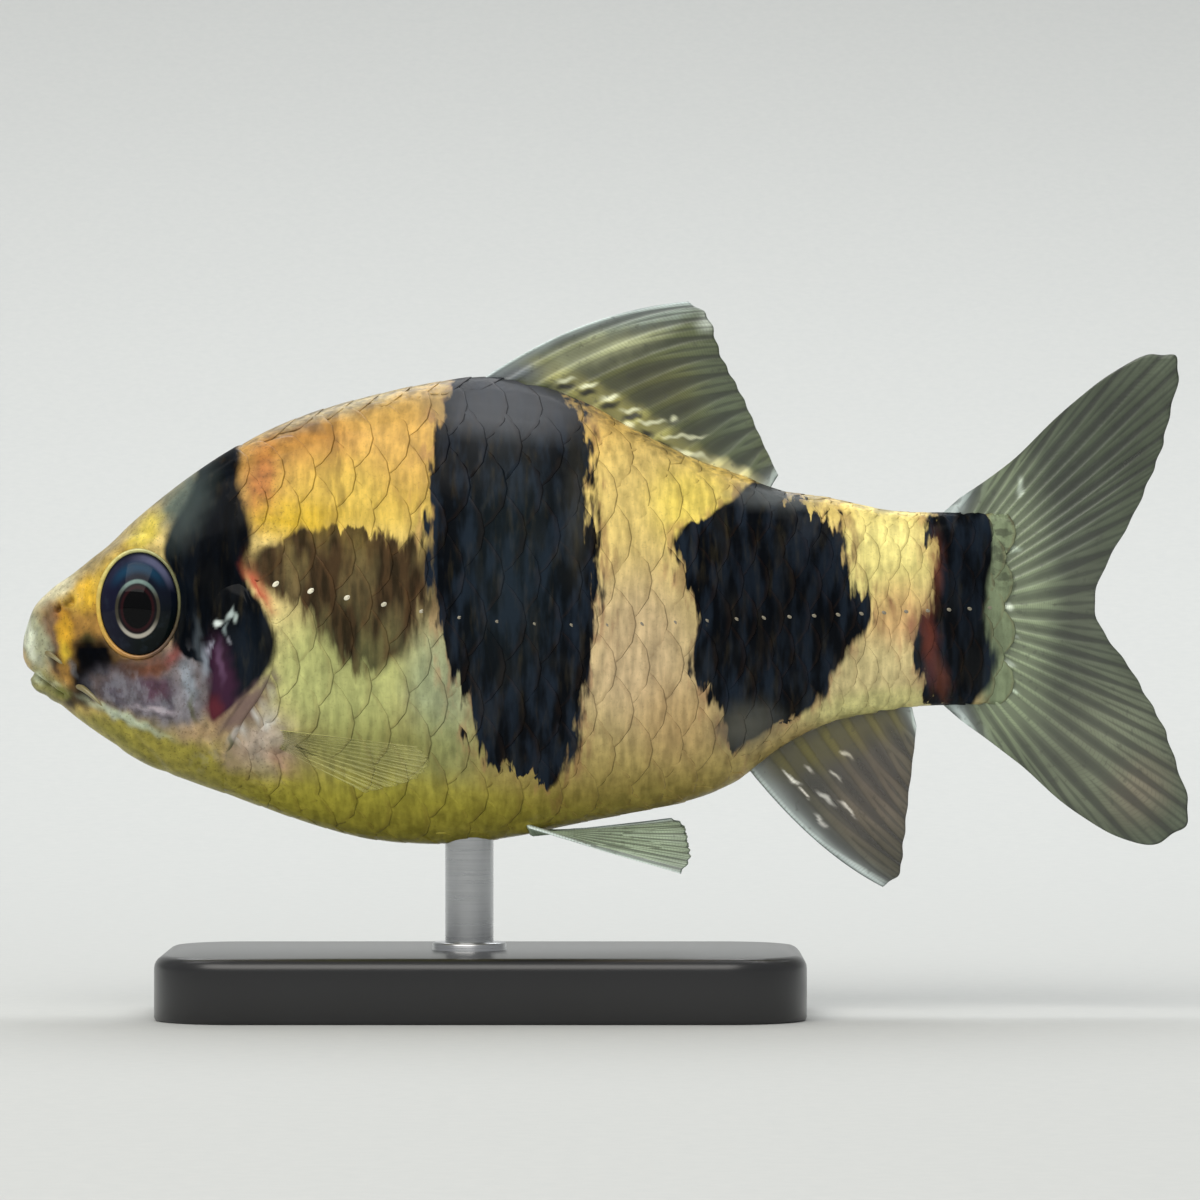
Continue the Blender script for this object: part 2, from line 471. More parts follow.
# The soft colours of the skin, from the photograph: name, behind the snout, above the axis, half length, half
# height, tilt of the length in degrees, softness of the edge, strength, colour.
SOFT_COLOURS = (
    ("nape orange", 17.0, 9.6, 4.8, 3.4, 15, 0.5, 0.8, (168, 110, 44)),
    ("nape gold", 21.0, 7.4, 5.5, 2.6, 0, 0.6, 0.85, (206, 174, 72)),
    ("nape peach", 24.0, 11.0, 2.4, 3.5, 5, 0.6, 0.7, (188, 144, 68)),
    ("red by the head band", 14.9, 8.0, 0.8, 2.4, -8, 0.7, 0.7, (158, 82, 44)),
    ("gold over the blotch", 17.0, 6.2, 2.8, 1.0, 0, 0.6, 0.9, (208, 172, 46)),
    ("pale green flank", 20.0, -3.4, 5.2, 4.2, -8, 0.5, 0.85, (172, 180, 112)),
    ("green by band two", 26.0, -4.5, 1.9, 4.6, 8, 0.5, 0.8, (150, 164, 128)),
    ("green lower flank", 23.0, -8.2, 6.0, 2.2, 0, 0.6, 0.75, (136, 140, 78)),
    ("olive belly", 20.0, -12.2, 12.0, 2.6, 0, 0.4, 0.8, (180, 172, 62)),
    ("mid flank yellow", 38.5, 6.6, 4.0, 5.0, -5, 0.5, 0.7, (218, 192, 118)),
    ("mid flank rose", 38.0, -1.5, 3.2, 4.4, 0, 0.6, 0.8, (196, 172, 134)),
    ("mid flank rose low", 40.5, -6.2, 2.4, 2.4, 0, 0.7, 0.6, (180, 148, 100)),
    ("yellow before band three", 41.6, 6.9, 2.6, 2.2, -30, 0.6, 0.8, (236, 212, 96)),
    ("stalk yellow", 53.4, 3.6, 2.8, 3.4, 0, 0.5, 0.85, (236, 224, 140)),
    ("stalk rose", 54.2, 0.4, 1.7, 2.0, 0, 0.6, 0.55, (206, 150, 104)),
    ("stalk pale", 51.8, -3.6, 3.6, 1.9, 22, 0.5, 0.8, (206, 192, 138)),
    ("stalk green edge", 53.0, -5.3, 4.5, 0.9, 8, 0.6, 0.7, (214, 212, 140)),
    ("tail end", 62.8, 0.6, 4.2, 9.0, 0, 0.1, 1.0, (122, 134, 104)),
    ("throat", 8.4, -8.4, 6.4, 1.9, -22, 0.4, 0.9, (146, 138, 54)),
    ("throat shadow", 6.0, -7.6, 3.0, 0.7, -36, 0.6, 0.5, (128, 124, 58)),
    ("jaw light", 5.6, -7.7, 3.0, 0.36, -40, 0.8, 0.5, (176, 166, 92)),
    ("cheek ground", 9.9, -3.9, 2.8, 3.0, 0, 0.35, 0.95, (112, 106, 112)),
    ("snout base", 4.2, -0.5, 4.6, 4.6, 30, 0.3, 1.0, (152, 114, 54)),
    ("forehead grey", 9.8, 7.8, 2.0, 2.6, 28, 0.5, 0.95, (86, 102, 94)),
    ("forehead gold", 4.7, 2.9, 3.6, 1.2, 42, 0.4, 1.0, (188, 156, 64)),
    ("gold by the eye", 3.9, 1.9, 0.7, 1.3, 20, 0.6, 0.8, (224, 178, 50)),
    ("forehead yellow", 7.6, 5.6, 1.3, 0.9, 50, 0.5, 0.9, (204, 186, 76)),
    ("forehead pale edge", 5.1, 4.55, 5.6, 0.75, 43, 0.7, 0.9, (156, 142, 106)),
    ("snout slope pale", 1.9, 1.8, 1.7, 0.6, 40, 0.6, 0.9, (204, 198, 164)),
    ("nostril rust", 2.5, 0.3, 0.6, 0.8, 40, 0.5, 0.9, (132, 84, 44)),
    ("lip fold grey", 1.85, -0.9, 0.5, 1.9, 8, 0.6, 0.85, (104, 84, 68)),
    ("snout gold", 2.8, -0.9, 0.5, 1.5, 6, 0.5, 0.9, (196, 150, 40)),
    ("snout gold bright", 2.75, -1.95, 0.34, 0.6, 10, 0.7, 0.8, (200, 172, 54)),
    ("snout green", 4.2, -1.2, 0.4, 0.35, 0, 0.7, 0.7, (60, 74, 34)),
    ("lip fold shade", 1.95, -2.2, 0.22, 1.3, 20, 0.7, 0.9, (62, 48, 40)),
    ("upper lip", 0.75, -1.2, 0.9, 2.3, 17, 0.4, 1.0, (148, 150, 122)),
    ("mouth line", 1.05, -3.68, 1.8, 0.12, -35, 0.7, 0.85, (44, 34, 28)),
    ("nostril", 2.25, 0.75, 0.2, 0.18, 0, 0.7, 0.6, (60, 36, 20)),
    ("nostril", 3.0, 1.15, 0.24, 0.22, 0, 0.7, 0.6, (56, 34, 18)),
    ("upper lip light", 0.35, -0.9, 0.34, 1.5, 16, 0.6, 0.9, (214, 220, 196)),
    ("lower lip", 1.4, -4.2, 1.6, 0.9, -40, 0.5, 0.9, (132, 132, 82)),
    ("lower lip light", 0.9, -3.6, 0.5, 0.3, -30, 0.7, 0.85, (186, 192, 160)),
    ("snout blotch", 4.6, -2.35, 1.6, 1.3, -20, 0.4, 1.0, (3, 4, 7)),
    ("snout blotch rear", 6.6, -2.95, 1.3, 0.55, -4, 0.6, 0.92, (24, 20, 18)),
    ("snout blotch foot", 3.95, -3.9, 0.75, 1.25, 12, 0.5, 1.0, (6, 6, 8)),
    ("snout blotch corner", 3.3, -4.8, 0.7, 0.75, 0, 0.6, 0.9, (40, 31, 20)),
    ("snout blotch grey fleck", 3.3, -3.0, 0.16, 0.5, 30, 0.7, 0.7, (96, 96, 98)),
    ("jaw olive", 2.6, -4.5, 0.4, 0.35, -30, 0.7, 0.8, (120, 124, 60)),
    ("jaw fleck", 2.1, -4.0, 0.26, 0.16, -30, 0.7, 0.8, (176, 174, 134)),
    ("jaw fleck", 3.75, -5.6, 0.3, 0.18, -20, 0.7, 0.7, (170, 150, 84)),
    ("cheek silver", 7.4, -4.6, 3.0, 1.45, -14, 0.4, 0.95, (88, 84, 94)),
    ("cheek shade", 5.6, -4.6, 1.1, 0.7, -20, 0.7, 0.6, (78, 74, 86)),
    ("cheek purple", 8.5, -4.3, 1.0, 0.8, -10, 0.5, 0.85, (78, 50, 64)),
    ("brown under the eye", 7.8, -2.8, 1.6, 0.7, 8, 0.5, 0.9, (78, 52, 38)),
    ("rust under the eye", 8.3, -2.9, 0.9, 0.5, 20, 0.7, 0.7, (104, 62, 44)),
    ("red behind the eye", 9.7, -1.9, 0.42, 0.95, -22, 0.7, 0.85, (116, 54, 46)),
    ("cheek edge", 6.5, -6.05, 2.5, 0.26, -24, 0.6, 0.95, (178, 188, 160)),
    ("cheek arc", 8.5, -5.55, 1.3, 0.17, -8, 0.6, 0.85, (168, 158, 164)),
    ("gill ridge", 10.5, -3.9, 0.45, 1.4, 4, 0.6, 0.9, (138, 146, 154)),
    ("gill ridge foot", 10.0, -5.3, 0.4, 0.9, -10, 0.7, 0.85, (130, 124, 128)),
    ("gill ridge groove", 10.75, -5.6, 0.18, 0.9, 8, 0.7, 0.85, (84, 84, 64)),
    ("gill foot tan", 11.2, -6.9, 1.4, 0.6, 6, 0.7, 0.8, (170, 142, 106)),
    ("gill membrane", 14.2, -7.4, 1.9, 1.0, 44, 0.6, 0.8, (172, 146, 126)),
    ("belly lift", 28.0, -12.6, 9.0, 1.2, 0, 0.8, 0.5, (150, 138, 60)),
    ("pectoral base", 15.4, -7.7, 1.7, 1.6, 20, 0.6, 0.8, (176, 164, 150)),
    ("pectoral base light", 15.4, -6.2, 0.7, 0.3, 40, 0.7, 0.9, (206, 204, 194)),
    ("pectoral base pink", 16.2, -8.6, 0.9, 0.6, -20, 0.8, 0.8, (172, 134, 108)),
    ("nape crest", 19.4, 13.1, 6.4, 0.55, 18, 0.7, 0.75, (160, 150, 112)),
    ("nape crest brown", 17.6, 11.9, 1.4, 0.3, 22, 0.8, 0.7, (104, 74, 52)),
    ("nape crest brown", 21.2, 13.0, 1.1, 0.26, 14, 0.8, 0.6, (116, 84, 50)),
)
SILVER_SKIN = (  # the same columns: where the cheek and the throat shine
    ("cheek", 7.6, -4.9, 3.0, 1.6, -14, 0.4, 1.0, (255, 255, 255)),
    ("gill ridge", 10.6, -4.2, 0.6, 2.0, 0, 0.6, 1.0, (255, 255, 255)),
    ("gill foot", 12.6, -7.6, 2.2, 0.8, 40, 0.6, 0.7, (255, 255, 255)),
    ("lip", 0.6, -1.4, 0.8, 2.2, 16, 0.6, 0.5, (255, 255, 255)),
)
FLANK_COLOURS = (  # above the axis, colour
    (-15.0, (128, 116, 44)),
    (-11.5, (150, 134, 62)),
    (-8.5, (176, 156, 96)),
    (-4.0, (206, 184, 134)),
    (2.0, (222, 198, 132)),
    (7.0, (232, 204, 116)),
    (12.0, (222, 182, 98)),
    (16.0, (196, 168, 104)),
)


ball = bmesh.new()
bmesh.ops.create_uvsphere(ball, u_segments=SKIN_SEGMENTS, v_segments=len(SKIN_RINGS) - 1, radius=1.0)
skin_mesh = mesh_from("skin", ball)
sphere = read_points(skin_mesh)
ring = np.rint(np.arccos(np.clip(sphere[:, 2], -1, 1)) / math.pi * (len(SKIN_RINGS) - 1)).astype(int)
skin_back = SKIN_RINGS[ring]
skin_turn = np.arctan2(sphere[:, 0], sphere[:, 1])
plain_out, plain_up = body_place(skin_back, skin_turn)
write_points(skin_mesh, world(skin_back, plain_out, plain_up))
close_up(skin_mesh, merge=False)
skin_normals = np.empty(len(skin_mesh.vertices) * 3, np.float32)
skin_mesh.vertex_normals.foreach_get("vector", skin_normals)
skin_lift = skin_relief(skin_back, plain_out, plain_up)[:, None] * MM
lifted = (read_points(skin_mesh) + skin_normals.reshape(-1, 3) * skin_lift) / MM
lifted[:, 1] = socket_out(lifted[:, 0] - SNOUT_X, lifted[:, 1], lifted[:, 2] - AXIS_Z)
write_points(skin_mesh, lifted * MM)

# The markings: black bands and a brown blotch in the skin and the scales over it, with streaked edges. One
# shader group draws them from the place on the fish, so that they run on from piece to piece.
# Each edge is given as above the axis, behind the snout. Edges that cross end the band.
BANDS = {
    "head band": (
        (
            (-7.2, 13.4), (-6.6, 12.4), (-6.0, 11.85), (-5.3, 11.7), (-2.8, 11.5), (-2.3, 10.5), (-1.5, 9.6),
            (2.5, 9.5), (4.0, 8.9), (5.0, 9.1), (8.0, 10.6), (10.6, 11.2), (12.2, 12.9),
        ),
        (
            (-7.2, 11.2), (-6.3, 12.0), (-5.9, 12.5), (-4.8, 13.9), (-3.4, 15.2), (-1.9, 15.95),
            (-0.64, 15.95), (0.86, 15.1), (2.2, 14.2), (3.3, 13.9), (5.2, 14.4), (6.5, 14.2), (8.3, 13.5),
            (10.6, 13.5), (12.2, 12.4),
        ),
    ),
    "shoulder band": (
        (
            (-10.6, 33.6), (-10.0, 32.4), (-9.2, 29.6), (-8.08, 28.54), (-5.22, 27.42), (-2.36, 26.61),
            (-0.06, 25.99), (2.18, 25.12), (4.29, 24.81), (7.15, 25.18), (10.94, 25.68), (13.99, 26.43),
            (16.5, 27.6),
        ),
        (
            (-10.6, 32.4), (-10.0, 33.2), (-9.2, 33.9), (-7.96, 34.2), (-5.22, 34.63), (-2.74, 35.38),
            (-0.44, 35.69), (3.36, 35.69), (5.66, 35.38), (8.08, 35.38), (10.94, 35.19), (13.99, 34.26),
            (16.5, 33.0),
        ),
    ),
    "vent band": (
        (
            (-8.2, 45.2), (-7.4, 43.71), (-5.53, 42.72), (-3.86, 42.22), (-2.55, 41.41), (-0.06, 41.91),
            (1.8, 41.41), (3.42, 40.66), (5.47, 40.73), (6.59, 42.9), (8.08, 44.89), (9.2, 47.0),
        ),
        (
            (-8.2, 44.2), (-7.03, 45.7), (-5.72, 48.56), (-3.36, 50.24), (-1.74, 51.42), (0.25, 52.54),
            (1.8, 51.92), (4.1, 51.24), (6.59, 49.87), (7.96, 47.38), (9.2, 46.0),
        ),
    ),
    "tail band": (
        (
            (-6.2, 58.4), (-5.04, 56.58), (-4.23, 55.9), (-1.74, 55.4), (1.12, 55.9), (4.1, 56.58),
            (6.09, 56.09), (6.78, 56.4), (7.9, 58.4),
        ),
        (
            (-6.2, 57.6), (-4.91, 59.2), (-3.36, 60.25), (-0.87, 59.88), (1.62, 59.88), (4.1, 60.38),
            (6.59, 59.76), (7.9, 57.6),
        ),
    ),
    "brown blotch": (
        (
            (-4.2, 22.4), (-3.4, 20.8), (-1.7, 19.0), (0.8, 17.3), (2.0, 15.4), (2.8, 14.3), (4.2, 14.3),
            (5.0, 16.2), (6.0, 19.4),
        ),
        ((-4.2, 20.8), (-3.4, 21.9), (-1.4, 24.4), (1.0, 25.5), (3.8, 25.2), (5.3, 23.2), (6.0, 18.8)),
    ),
}
BAND_SOFTNESS = 0.3
BLOTCH_SOFTNESS = 0.9
EVEN = (1.0, 1.0, 1.0)  # noise that isn't stretched
CURVE_HEIGHT = 18.0
CURVE_LENGTH = 64.0
# What lies over the bands: the same columns as the soft colours.
OVER_COLOURS = (
    ("shoulder band grey top", 30.2, 13.1, 4.4, 1.7, -4, 0.7, 0.85, (96, 98, 102)),
    ("shoulder band sheen", 30.4, 4.0, 2.6, 6.5, 0, 0.8, 0.22, (46, 58, 62)),
    ("head band black", 12.3, 3.4, 1.7, 6.0, -6, 0.6, 0.6, (2, 3, 5)),
    ("shoulder band grey rear", 34.4, 7.0, 0.6, 4.0, 0, 0.9, 0.25, (90, 88, 78)),
    ("vent band grey top", 46.5, 7.6, 2.6, 0.6, -6, 0.8, 0.75, (104, 108, 108)),
    ("vent band grey low", 44.9, -6.6, 1.8, 1.2, 20, 0.8, 0.9, (88, 88, 80)),
    ("vent band black", 46.8, 1.4, 4.6, 4.6, 0, 0.7, 0.45, (4, 6, 10)),
    ("tail band black", 58.5, 0.5, 1.4, 5.0, 0, 0.7, 0.5, (6, 7, 9)),
    ("tail band brown", 56.2, -1.2, 0.4, 2.2, 4, 0.9, 0.65, (118, 62, 50)),
    ("tail band brown", 56.6, 3.4, 0.35, 1.6, 0, 0.9, 0.6, (122, 70, 48)),
    ("tail band brown", 57.0, -3.7, 0.35, 1.2, 10, 0.9, 0.6, (110, 64, 48)),
    ("stalk brown mark", 53.9, 0.8, 0.24, 0.7, 8, 0.7, 0.8, (112, 62, 50)),
    ("stalk brown mark", 55.0, -0.4, 0.26, 0.9, 0, 0.8, 0.6, (136, 78, 66)),
    ("gill magenta", 12.6, -3.6, 0.8, 2.3, 10, 0.6, 0.8, (64, 34, 56)),
    ("gill magenta light", 12.5, -2.6, 0.2, 1.1, 6, 0.8, 0.5, (112, 84, 112)),
    ("gill red tip", 12.1, -5.5, 0.5, 0.8, 14, 0.8, 0.85, (94, 38, 48)),
    ("gill blue sheen", 14.2, -2.0, 0.8, 1.9, -6, 0.9, 0.35, (20, 32, 44)),
    ("gill glint", 12.4, -0.2, 0.25, 0.22, 20, 0.6, 0.95, (222, 232, 226)),
    ("gill glint", 13.05, 0.3, 0.13, 0.42, -30, 0.7, 0.85, (186, 200, 196)),
    ("gill glint", 13.35, 0.15, 0.14, 0.24, 10, 0.7, 0.8, (176, 190, 184)),
    ("gill glint", 12.85, -0.6, 0.1, 0.34, -20, 0.8, 0.6, (146, 160, 160)),
    ("gill glint", 13.0, -1.15, 0.12, 0.2, 0, 0.8, 0.6, (150, 152, 160)),
    ("gill glint", 11.85, -1.8, 0.15, 0.42, -8, 0.7, 0.8, (160, 160, 174)),
    ("ridge above the cheek", 11.1, -1.3, 0.2, 1.3, 4, 0.8, 0.6, (76, 84, 90)),
    ("ridge above the cheek", 11.5, -2.6, 0.2, 0.9, 0, 0.8, 0.8, (140, 148, 158)),
    ("gill slit salmon", 14.9, 1.95, 0.36, 1.4, 33, 0.8, 0.95, (190, 84, 62)),
    ("gill slit brown", 14.25, 3.6, 0.4, 0.7, 20, 0.7, 0.8, (58, 34, 22)),
    ("gill membrane mauve", 14.1, -5.35, 2.3, 0.65, 46, 0.5, 0.9, (112, 90, 88)),
    ("gill membrane high", 15.5, -3.8, 0.3, 0.7, -30, 0.7, 0.8, (112, 98, 88)),
    ("gill membrane white", 14.4, -6.35, 1.5, 0.2, 44, 0.6, 0.9, (206, 204, 196)),
    ("gill membrane white", 13.4, -6.9, 0.8, 0.16, 50, 0.7, 0.7, (180, 176, 170)),
    ("gill membrane green", 13.0, -7.9, 0.16, 0.8, -6, 0.7, 0.8, (92, 96, 70)),
    ("gill membrane foot", 13.3, -8.6, 0.5, 0.7, 0, 0.7, 0.7, (160, 140, 116)),
    ("head band grey", 10.4, 7.0, 1.0, 2.3, -24, 0.9, 0.65, (72, 82, 80)),
)


def patched(colour, cover, table, back, up):
    """Lays a table of soft patches over colours, and adds to how far each place is covered."""
    # The outlines wander by a tenth of a millimetre or so, as the cells of a real skin do.
    unrest = (
        0.09 * np.sin(3.1 * up + 1.7 * back) + 0.05 * np.sin(7.3 * up - 4.1 * back + 1.0),
        0.08 * np.sin(3.7 * back - 1.9 * up + 0.6) + 0.05 * np.sin(8.1 * back + 3.3 * up),
    )
    for name, patch_back, patch_up, half_length, half_height, tilt, softness, strength, tone in table:
        turn = math.radians(tilt)
        x, z = back - patch_back + unrest[0], up - patch_up + unrest[1]
        along = (x * math.cos(turn) + z * math.sin(turn)) / half_length
        across = (z * math.cos(turn) - x * math.sin(turn)) / half_height
        share = (strength * ease((1 + softness - np.hypot(along, across)) / (2 * softness)))[..., None]
        colour = colour + (np.array(pigment(*tone)[:3]) - colour) * share
        cover = cover + (1 - cover) * share
    return colour, cover


def ground_colour(back, up):
    """The skin's soft colours without its bands, and how near the ridge of the back a place is."""
    heights = [row[0] for row in FLANK_COLOURS]
    tones = np.array([pigment(*row[1])[:3] for row in FLANK_COLOURS])
    colour = np.stack([np.interp(up, heights, tones[:, i]) for i in range(3)], axis=-1)
    colour, _ = patched(colour, 0.0, SOFT_COLOURS, back, up)
    middle, half_height = section(back)[:2]
    ridge = ease(((up - middle) / np.maximum(half_height, 0.1) - 0.9) / 0.1) * ease((back - 12) / 3)
    return np.concatenate([colour, ridge[..., None]], axis=-1)


def over_colour(back, up):
    """The marks that lie over the bands, with their cover as alpha."""
    start = np.zeros((*np.shape(back), 3))
    colour, cover = patched(start, start[..., :1], OVER_COLOURS, back, up)
    # Each mark keeps its own tone where it is faint, and grey lies ready where there is none.
    colour = np.where(cover > 0.01, colour / np.maximum(cover, 0.01), pigment(60, 60, 62)[0])
    return np.concatenate([colour, cover], axis=-1)


def tint(mesh):
    """Stores the colours at each point of a mesh for the markings group to read."""
    points = read_points(mesh) / MM
    back, up = points[:, 0] - SNOUT_X, points[:, 2] - AXIS_Z
    store(mesh, "ground", ground_colour(back, up))
    store(mesh, "over", over_colour(back, up))


def band_edge(tree, height, edge):
    """How far behind the snout an edge lies at a height, both as shares."""
    curve = wire(tree, "ShaderNodeFloatCurve", {"Value": height})
    curve.mapping.extend = "HORIZONTAL"
    places = [((up + CURVE_HEIGHT) / (2 * CURVE_HEIGHT), back / CURVE_LENGTH) for up, back in sorted(edge)]
    points = curve.mapping.curves[0].points
    points[0].location = places[0]
    points[1].location = places[-1]
    for place in places[1:-1]:
        points.new(*place)
    curve.mapping.update()
    return curve.outputs["Value"]


def calc(tree, operation, *values):
    """A math node's result."""
    return wire(tree, "ShaderNodeMath", dict(enumerate(values)), operation=operation).outputs[0]


def times(tree, first, second):
    return calc(tree, "MULTIPLY", first, second)


def scale_add(tree, value, factor, added):
    return calc(tree, "MULTIPLY_ADD", value, factor, added)


def soft_step(tree, value, low, high):
    """0 below low and 1 above high."""
    inputs = {"Value": value, "From Min": low, "From Max": high}
    return wire(tree, "ShaderNodeMapRange", inputs, interpolation_type="SMOOTHSTEP").outputs["Result"]


def soft_drop(tree, value, low, high):
    """1 below low and 0 above high."""
    return calc(tree, "SUBTRACT", 1.0, soft_step(tree, value, low, high))


def vector_calc(tree, operation, first, second):
    return wire(tree, "ShaderNodeVectorMath", {0: first, 1: second}, operation=operation).outputs[0]


def enlarge(tree, vector, factor):
    """A place or a colour times a factor."""
    return wire(tree, "ShaderNodeVectorMath", {0: vector, "Scale": factor}, operation="SCALE").outputs[0]


def streaks(tree, place, stretch, scale, detail=3.0):
    """Noise stretched by a factor for each axis."""
    return noise(tree, vector_calc(tree, "MULTIPLY", place, stretch), scale, detail)


markings = bpy.data.node_groups.new("markings", "ShaderNodeTree")
for socket_name, socket_type in (("Place", "NodeSocketVector"), ("Grain", "NodeSocketFloat")):
    markings.interface.new_socket(socket_name, in_out="INPUT", socket_type=socket_type)
for socket_name, socket_type in (("Color", "NodeSocketColor"), ("Dark", "NodeSocketFloat")):
    markings.interface.new_socket(socket_name, in_out="OUTPUT", socket_type=socket_type)
marks_in = markings.nodes.new("NodeGroupInput").outputs
marks_out = markings.nodes.new("NodeGroupOutput").inputs
in_mm = enlarge(markings, marks_in["Place"], 1 / MM)
axes = wire(markings, "ShaderNodeSeparateXYZ", {0: in_mm}).outputs
fine_streak = streaks(markings, in_mm, (1.0, 0.5, 0.2), 2.1, 3.0)
coarse_streak = streaks(markings, in_mm, (1.0, 0.6, 0.35), 0.7, 2.0)
# The edges wander as the pigment does: in upright streaks, with a small step from scale to scale.
wander = scale_add(markings, fine_streak, 2.6, -1.3)
wander = scale_add(markings, coarse_streak, 1.4, calc(markings, "SUBTRACT", wander, 0.7))
wander = scale_add(markings, marks_in["Grain"], 0.16, wander)
# The smooth skin of the head keeps its edges calm.
true_back = calc(markings, "SUBTRACT", axes[0], SNOUT_X)
scaled_share = soft_step(markings, true_back, 15.0, 17.8)
ragged = scale_add(markings, scaled_share, 0.82, 0.18)
ragged = times(
    markings, ragged,
    scale_add(markings, soft_step(markings, true_back, 57.6, 59.4), -0.6, 1.0),
)
mark_back = scale_add(markings, wander, ragged, true_back)
mark_up = calc(markings, "SUBTRACT", axes[2], AXIS_Z)
mark_up = scale_add(markings, marks_in["Grain"], 0.25, mark_up)
up_wander = scale_add(markings, fine_streak, 2.0, -1.0)
mark_up = scale_add(markings, up_wander, ragged, mark_up)
curve_height = wire(
    markings, "ShaderNodeMapRange", {"Value": mark_up, "From Min": -CURVE_HEIGHT, "From Max": CURVE_HEIGHT}
).outputs["Result"]
band_share = {}
fringe_share = {}
for band_name, (front_edge_rows, rear_edge_rows) in BANDS.items():
    soft = BLOTCH_SOFTNESS if band_name == "brown blotch" else BAND_SOFTNESS
    front_at = band_edge(markings, curve_height, front_edge_rows)
    rear_at = band_edge(markings, curve_height, rear_edge_rows)
    past_front = scale_add(markings, front_at, -CURVE_LENGTH, mark_back)
    before_rear = calc(markings, "SUBTRACT", times(markings, rear_at, CURVE_LENGTH), mark_back)
    band_share[band_name] = times(
        markings,
        soft_step(markings, past_front, -soft, soft), soft_step(markings, before_rear, -soft, soft),
    )
    behind = 0.0 if band_name == "tail band" else -1.5
    fringe_share[band_name] = times(
        markings, soft_step(markings, past_front, -1.5, -0.2),
        soft_step(markings, before_rear, behind, behind + 1.3),
    )
ground_layer = wire(markings, "ShaderNodeAttribute", attribute_name="ground")
over_layer = wire(markings, "ShaderNodeAttribute", attribute_name="over")
# The ridge of the back is dusted with dark specks.
back_dust = soft_step(markings, streaks(markings, in_mm, (0.7, 1.0, 1.0), 2.1, 2.0), 0.44, 0.6)
dust_share = times(markings, ground_layer.outputs["Alpha"], times(markings, back_dust, 0.55))
flank = blend_colour(markings, dust_share, ground_layer.outputs["Color"], pigment(52, 52, 46))
# A brown fringe runs beside the bands where the fine streaks reach out.
fringe = calc(markings, "MAXIMUM", fringe_share["shoulder band"], fringe_share["vent band"])
fringe = calc(markings, "MAXIMUM", fringe, fringe_share["tail band"])
fringe_streak = streaks(markings, in_mm, (1.0, 0.5, 0.3), 1.6, 2.0)
fringe = times(markings, fringe, soft_step(markings, fringe_streak, 0.46, 0.62))
flank = blend_colour(markings, times(markings, fringe, 0.5), flank, pigment(150, 104, 76))
# The flank is finely streaked, and the head's smooth skin is mottled and dusted with dark cells instead.
streak_depth = scale_add(markings, scaled_share, 0.34, 0.06)
flank_streak = calc(markings, "SUBTRACT", soft_step(markings, fine_streak, 0.3, 0.7), 0.53)
flank_streak = scale_add(markings, flank_streak, streak_depth, 1.0)
mottle = calc(markings, "SUBTRACT", streaks(markings, in_mm, (1.0, 1.0, 0.8), 1.7, 5.0), 0.5)
mottle_depth = scale_add(markings, scaled_share, -1.0, 1.7)
flank_streak = scale_add(markings, mottle, mottle_depth, flank_streak)
flank = enlarge(markings, flank, flank_streak)
dark_cells = soft_step(markings, streaks(markings, in_mm, EVEN, 6.5, 1.0), 0.6, 0.68)
dark_cells = times(markings, dark_cells, scale_add(markings, scaled_share, -0.2, 0.32))
cell_tone = vector_calc(markings, "MINIMUM", flank, pigment(66, 50, 30)[:3])
flank = blend_colour(markings, dark_cells, flank, cell_tone)
brown_streak = soft_step(markings, fine_streak, 0.35, 0.65)
brown = blend_colour(markings, brown_streak, pigment(32, 22, 13), pigment(60, 41, 23))
brown_share = times(
    markings, band_share["brown blotch"],
    scale_add(markings, soft_step(markings, coarse_streak, 0.3, 0.6), 0.18, 0.8),
)
flank = blend_colour(markings, brown_share, flank, brown)
band_streak = streaks(markings, in_mm, (1.0, 0.5, 0.24), 1.3, 3.0)
band_light = times(
    markings, soft_step(markings, band_streak, 0.4, 0.66),
    scale_add(markings, scaled_share, 0.65, 0.35),
)
black = blend_colour(markings, band_light, pigment(4, 7, 12), pigment(27, 36, 47))
grey_share = times(markings, soft_step(markings, coarse_streak, 0.54, 0.7), 0.25)
black = blend_colour(markings, grey_share, black, pigment(46, 47, 46))
dark = band_share["head band"]
for band_name in ("shoulder band", "vent band", "tail band"):
    dark = calc(markings, "MAXIMUM", dark, band_share[band_name])
thin_spots = scale_add(markings, soft_step(markings, fine_streak, 0.25, 0.5), 0.03, 0.97)
dark = times(markings, dark, thin_spots)
marked = blend_colour(markings, dark, flank, black)
marked = blend_colour(markings, over_layer.outputs["Alpha"], marked, over_layer.outputs["Color"])
markings.links.new(marked, marks_out["Color"])
# The darkest skin outside the bands counts as black too.
shade = wire(markings, "ShaderNodeRGBToBW", {0: marked}).outputs[0]
deep = soft_drop(markings, shade, 0.004, 0.04)
markings.links.new(calc(markings, "MAXIMUM", dark, deep), marks_out["Dark"])


def form_parts(tree):
    """The four numbers that keep_form keeps."""
    form = wire(tree, "ShaderNodeAttribute", attribute_name="form")
    return [*wire(tree, "ShaderNodeSeparateColor", {0: form.outputs["Color"]}).outputs, form.outputs["Alpha"]]


def raise_pattern(tree, shader, height, strength, distance):
    """Lets a pattern stand out from a surface, by a distance in metres."""
    bumps = wire(tree, "ShaderNodeBump", {"Height": height, "Strength": strength, "Distance": distance})
    tree.links.new(bumps.outputs["Normal"], shader.inputs["Normal"])


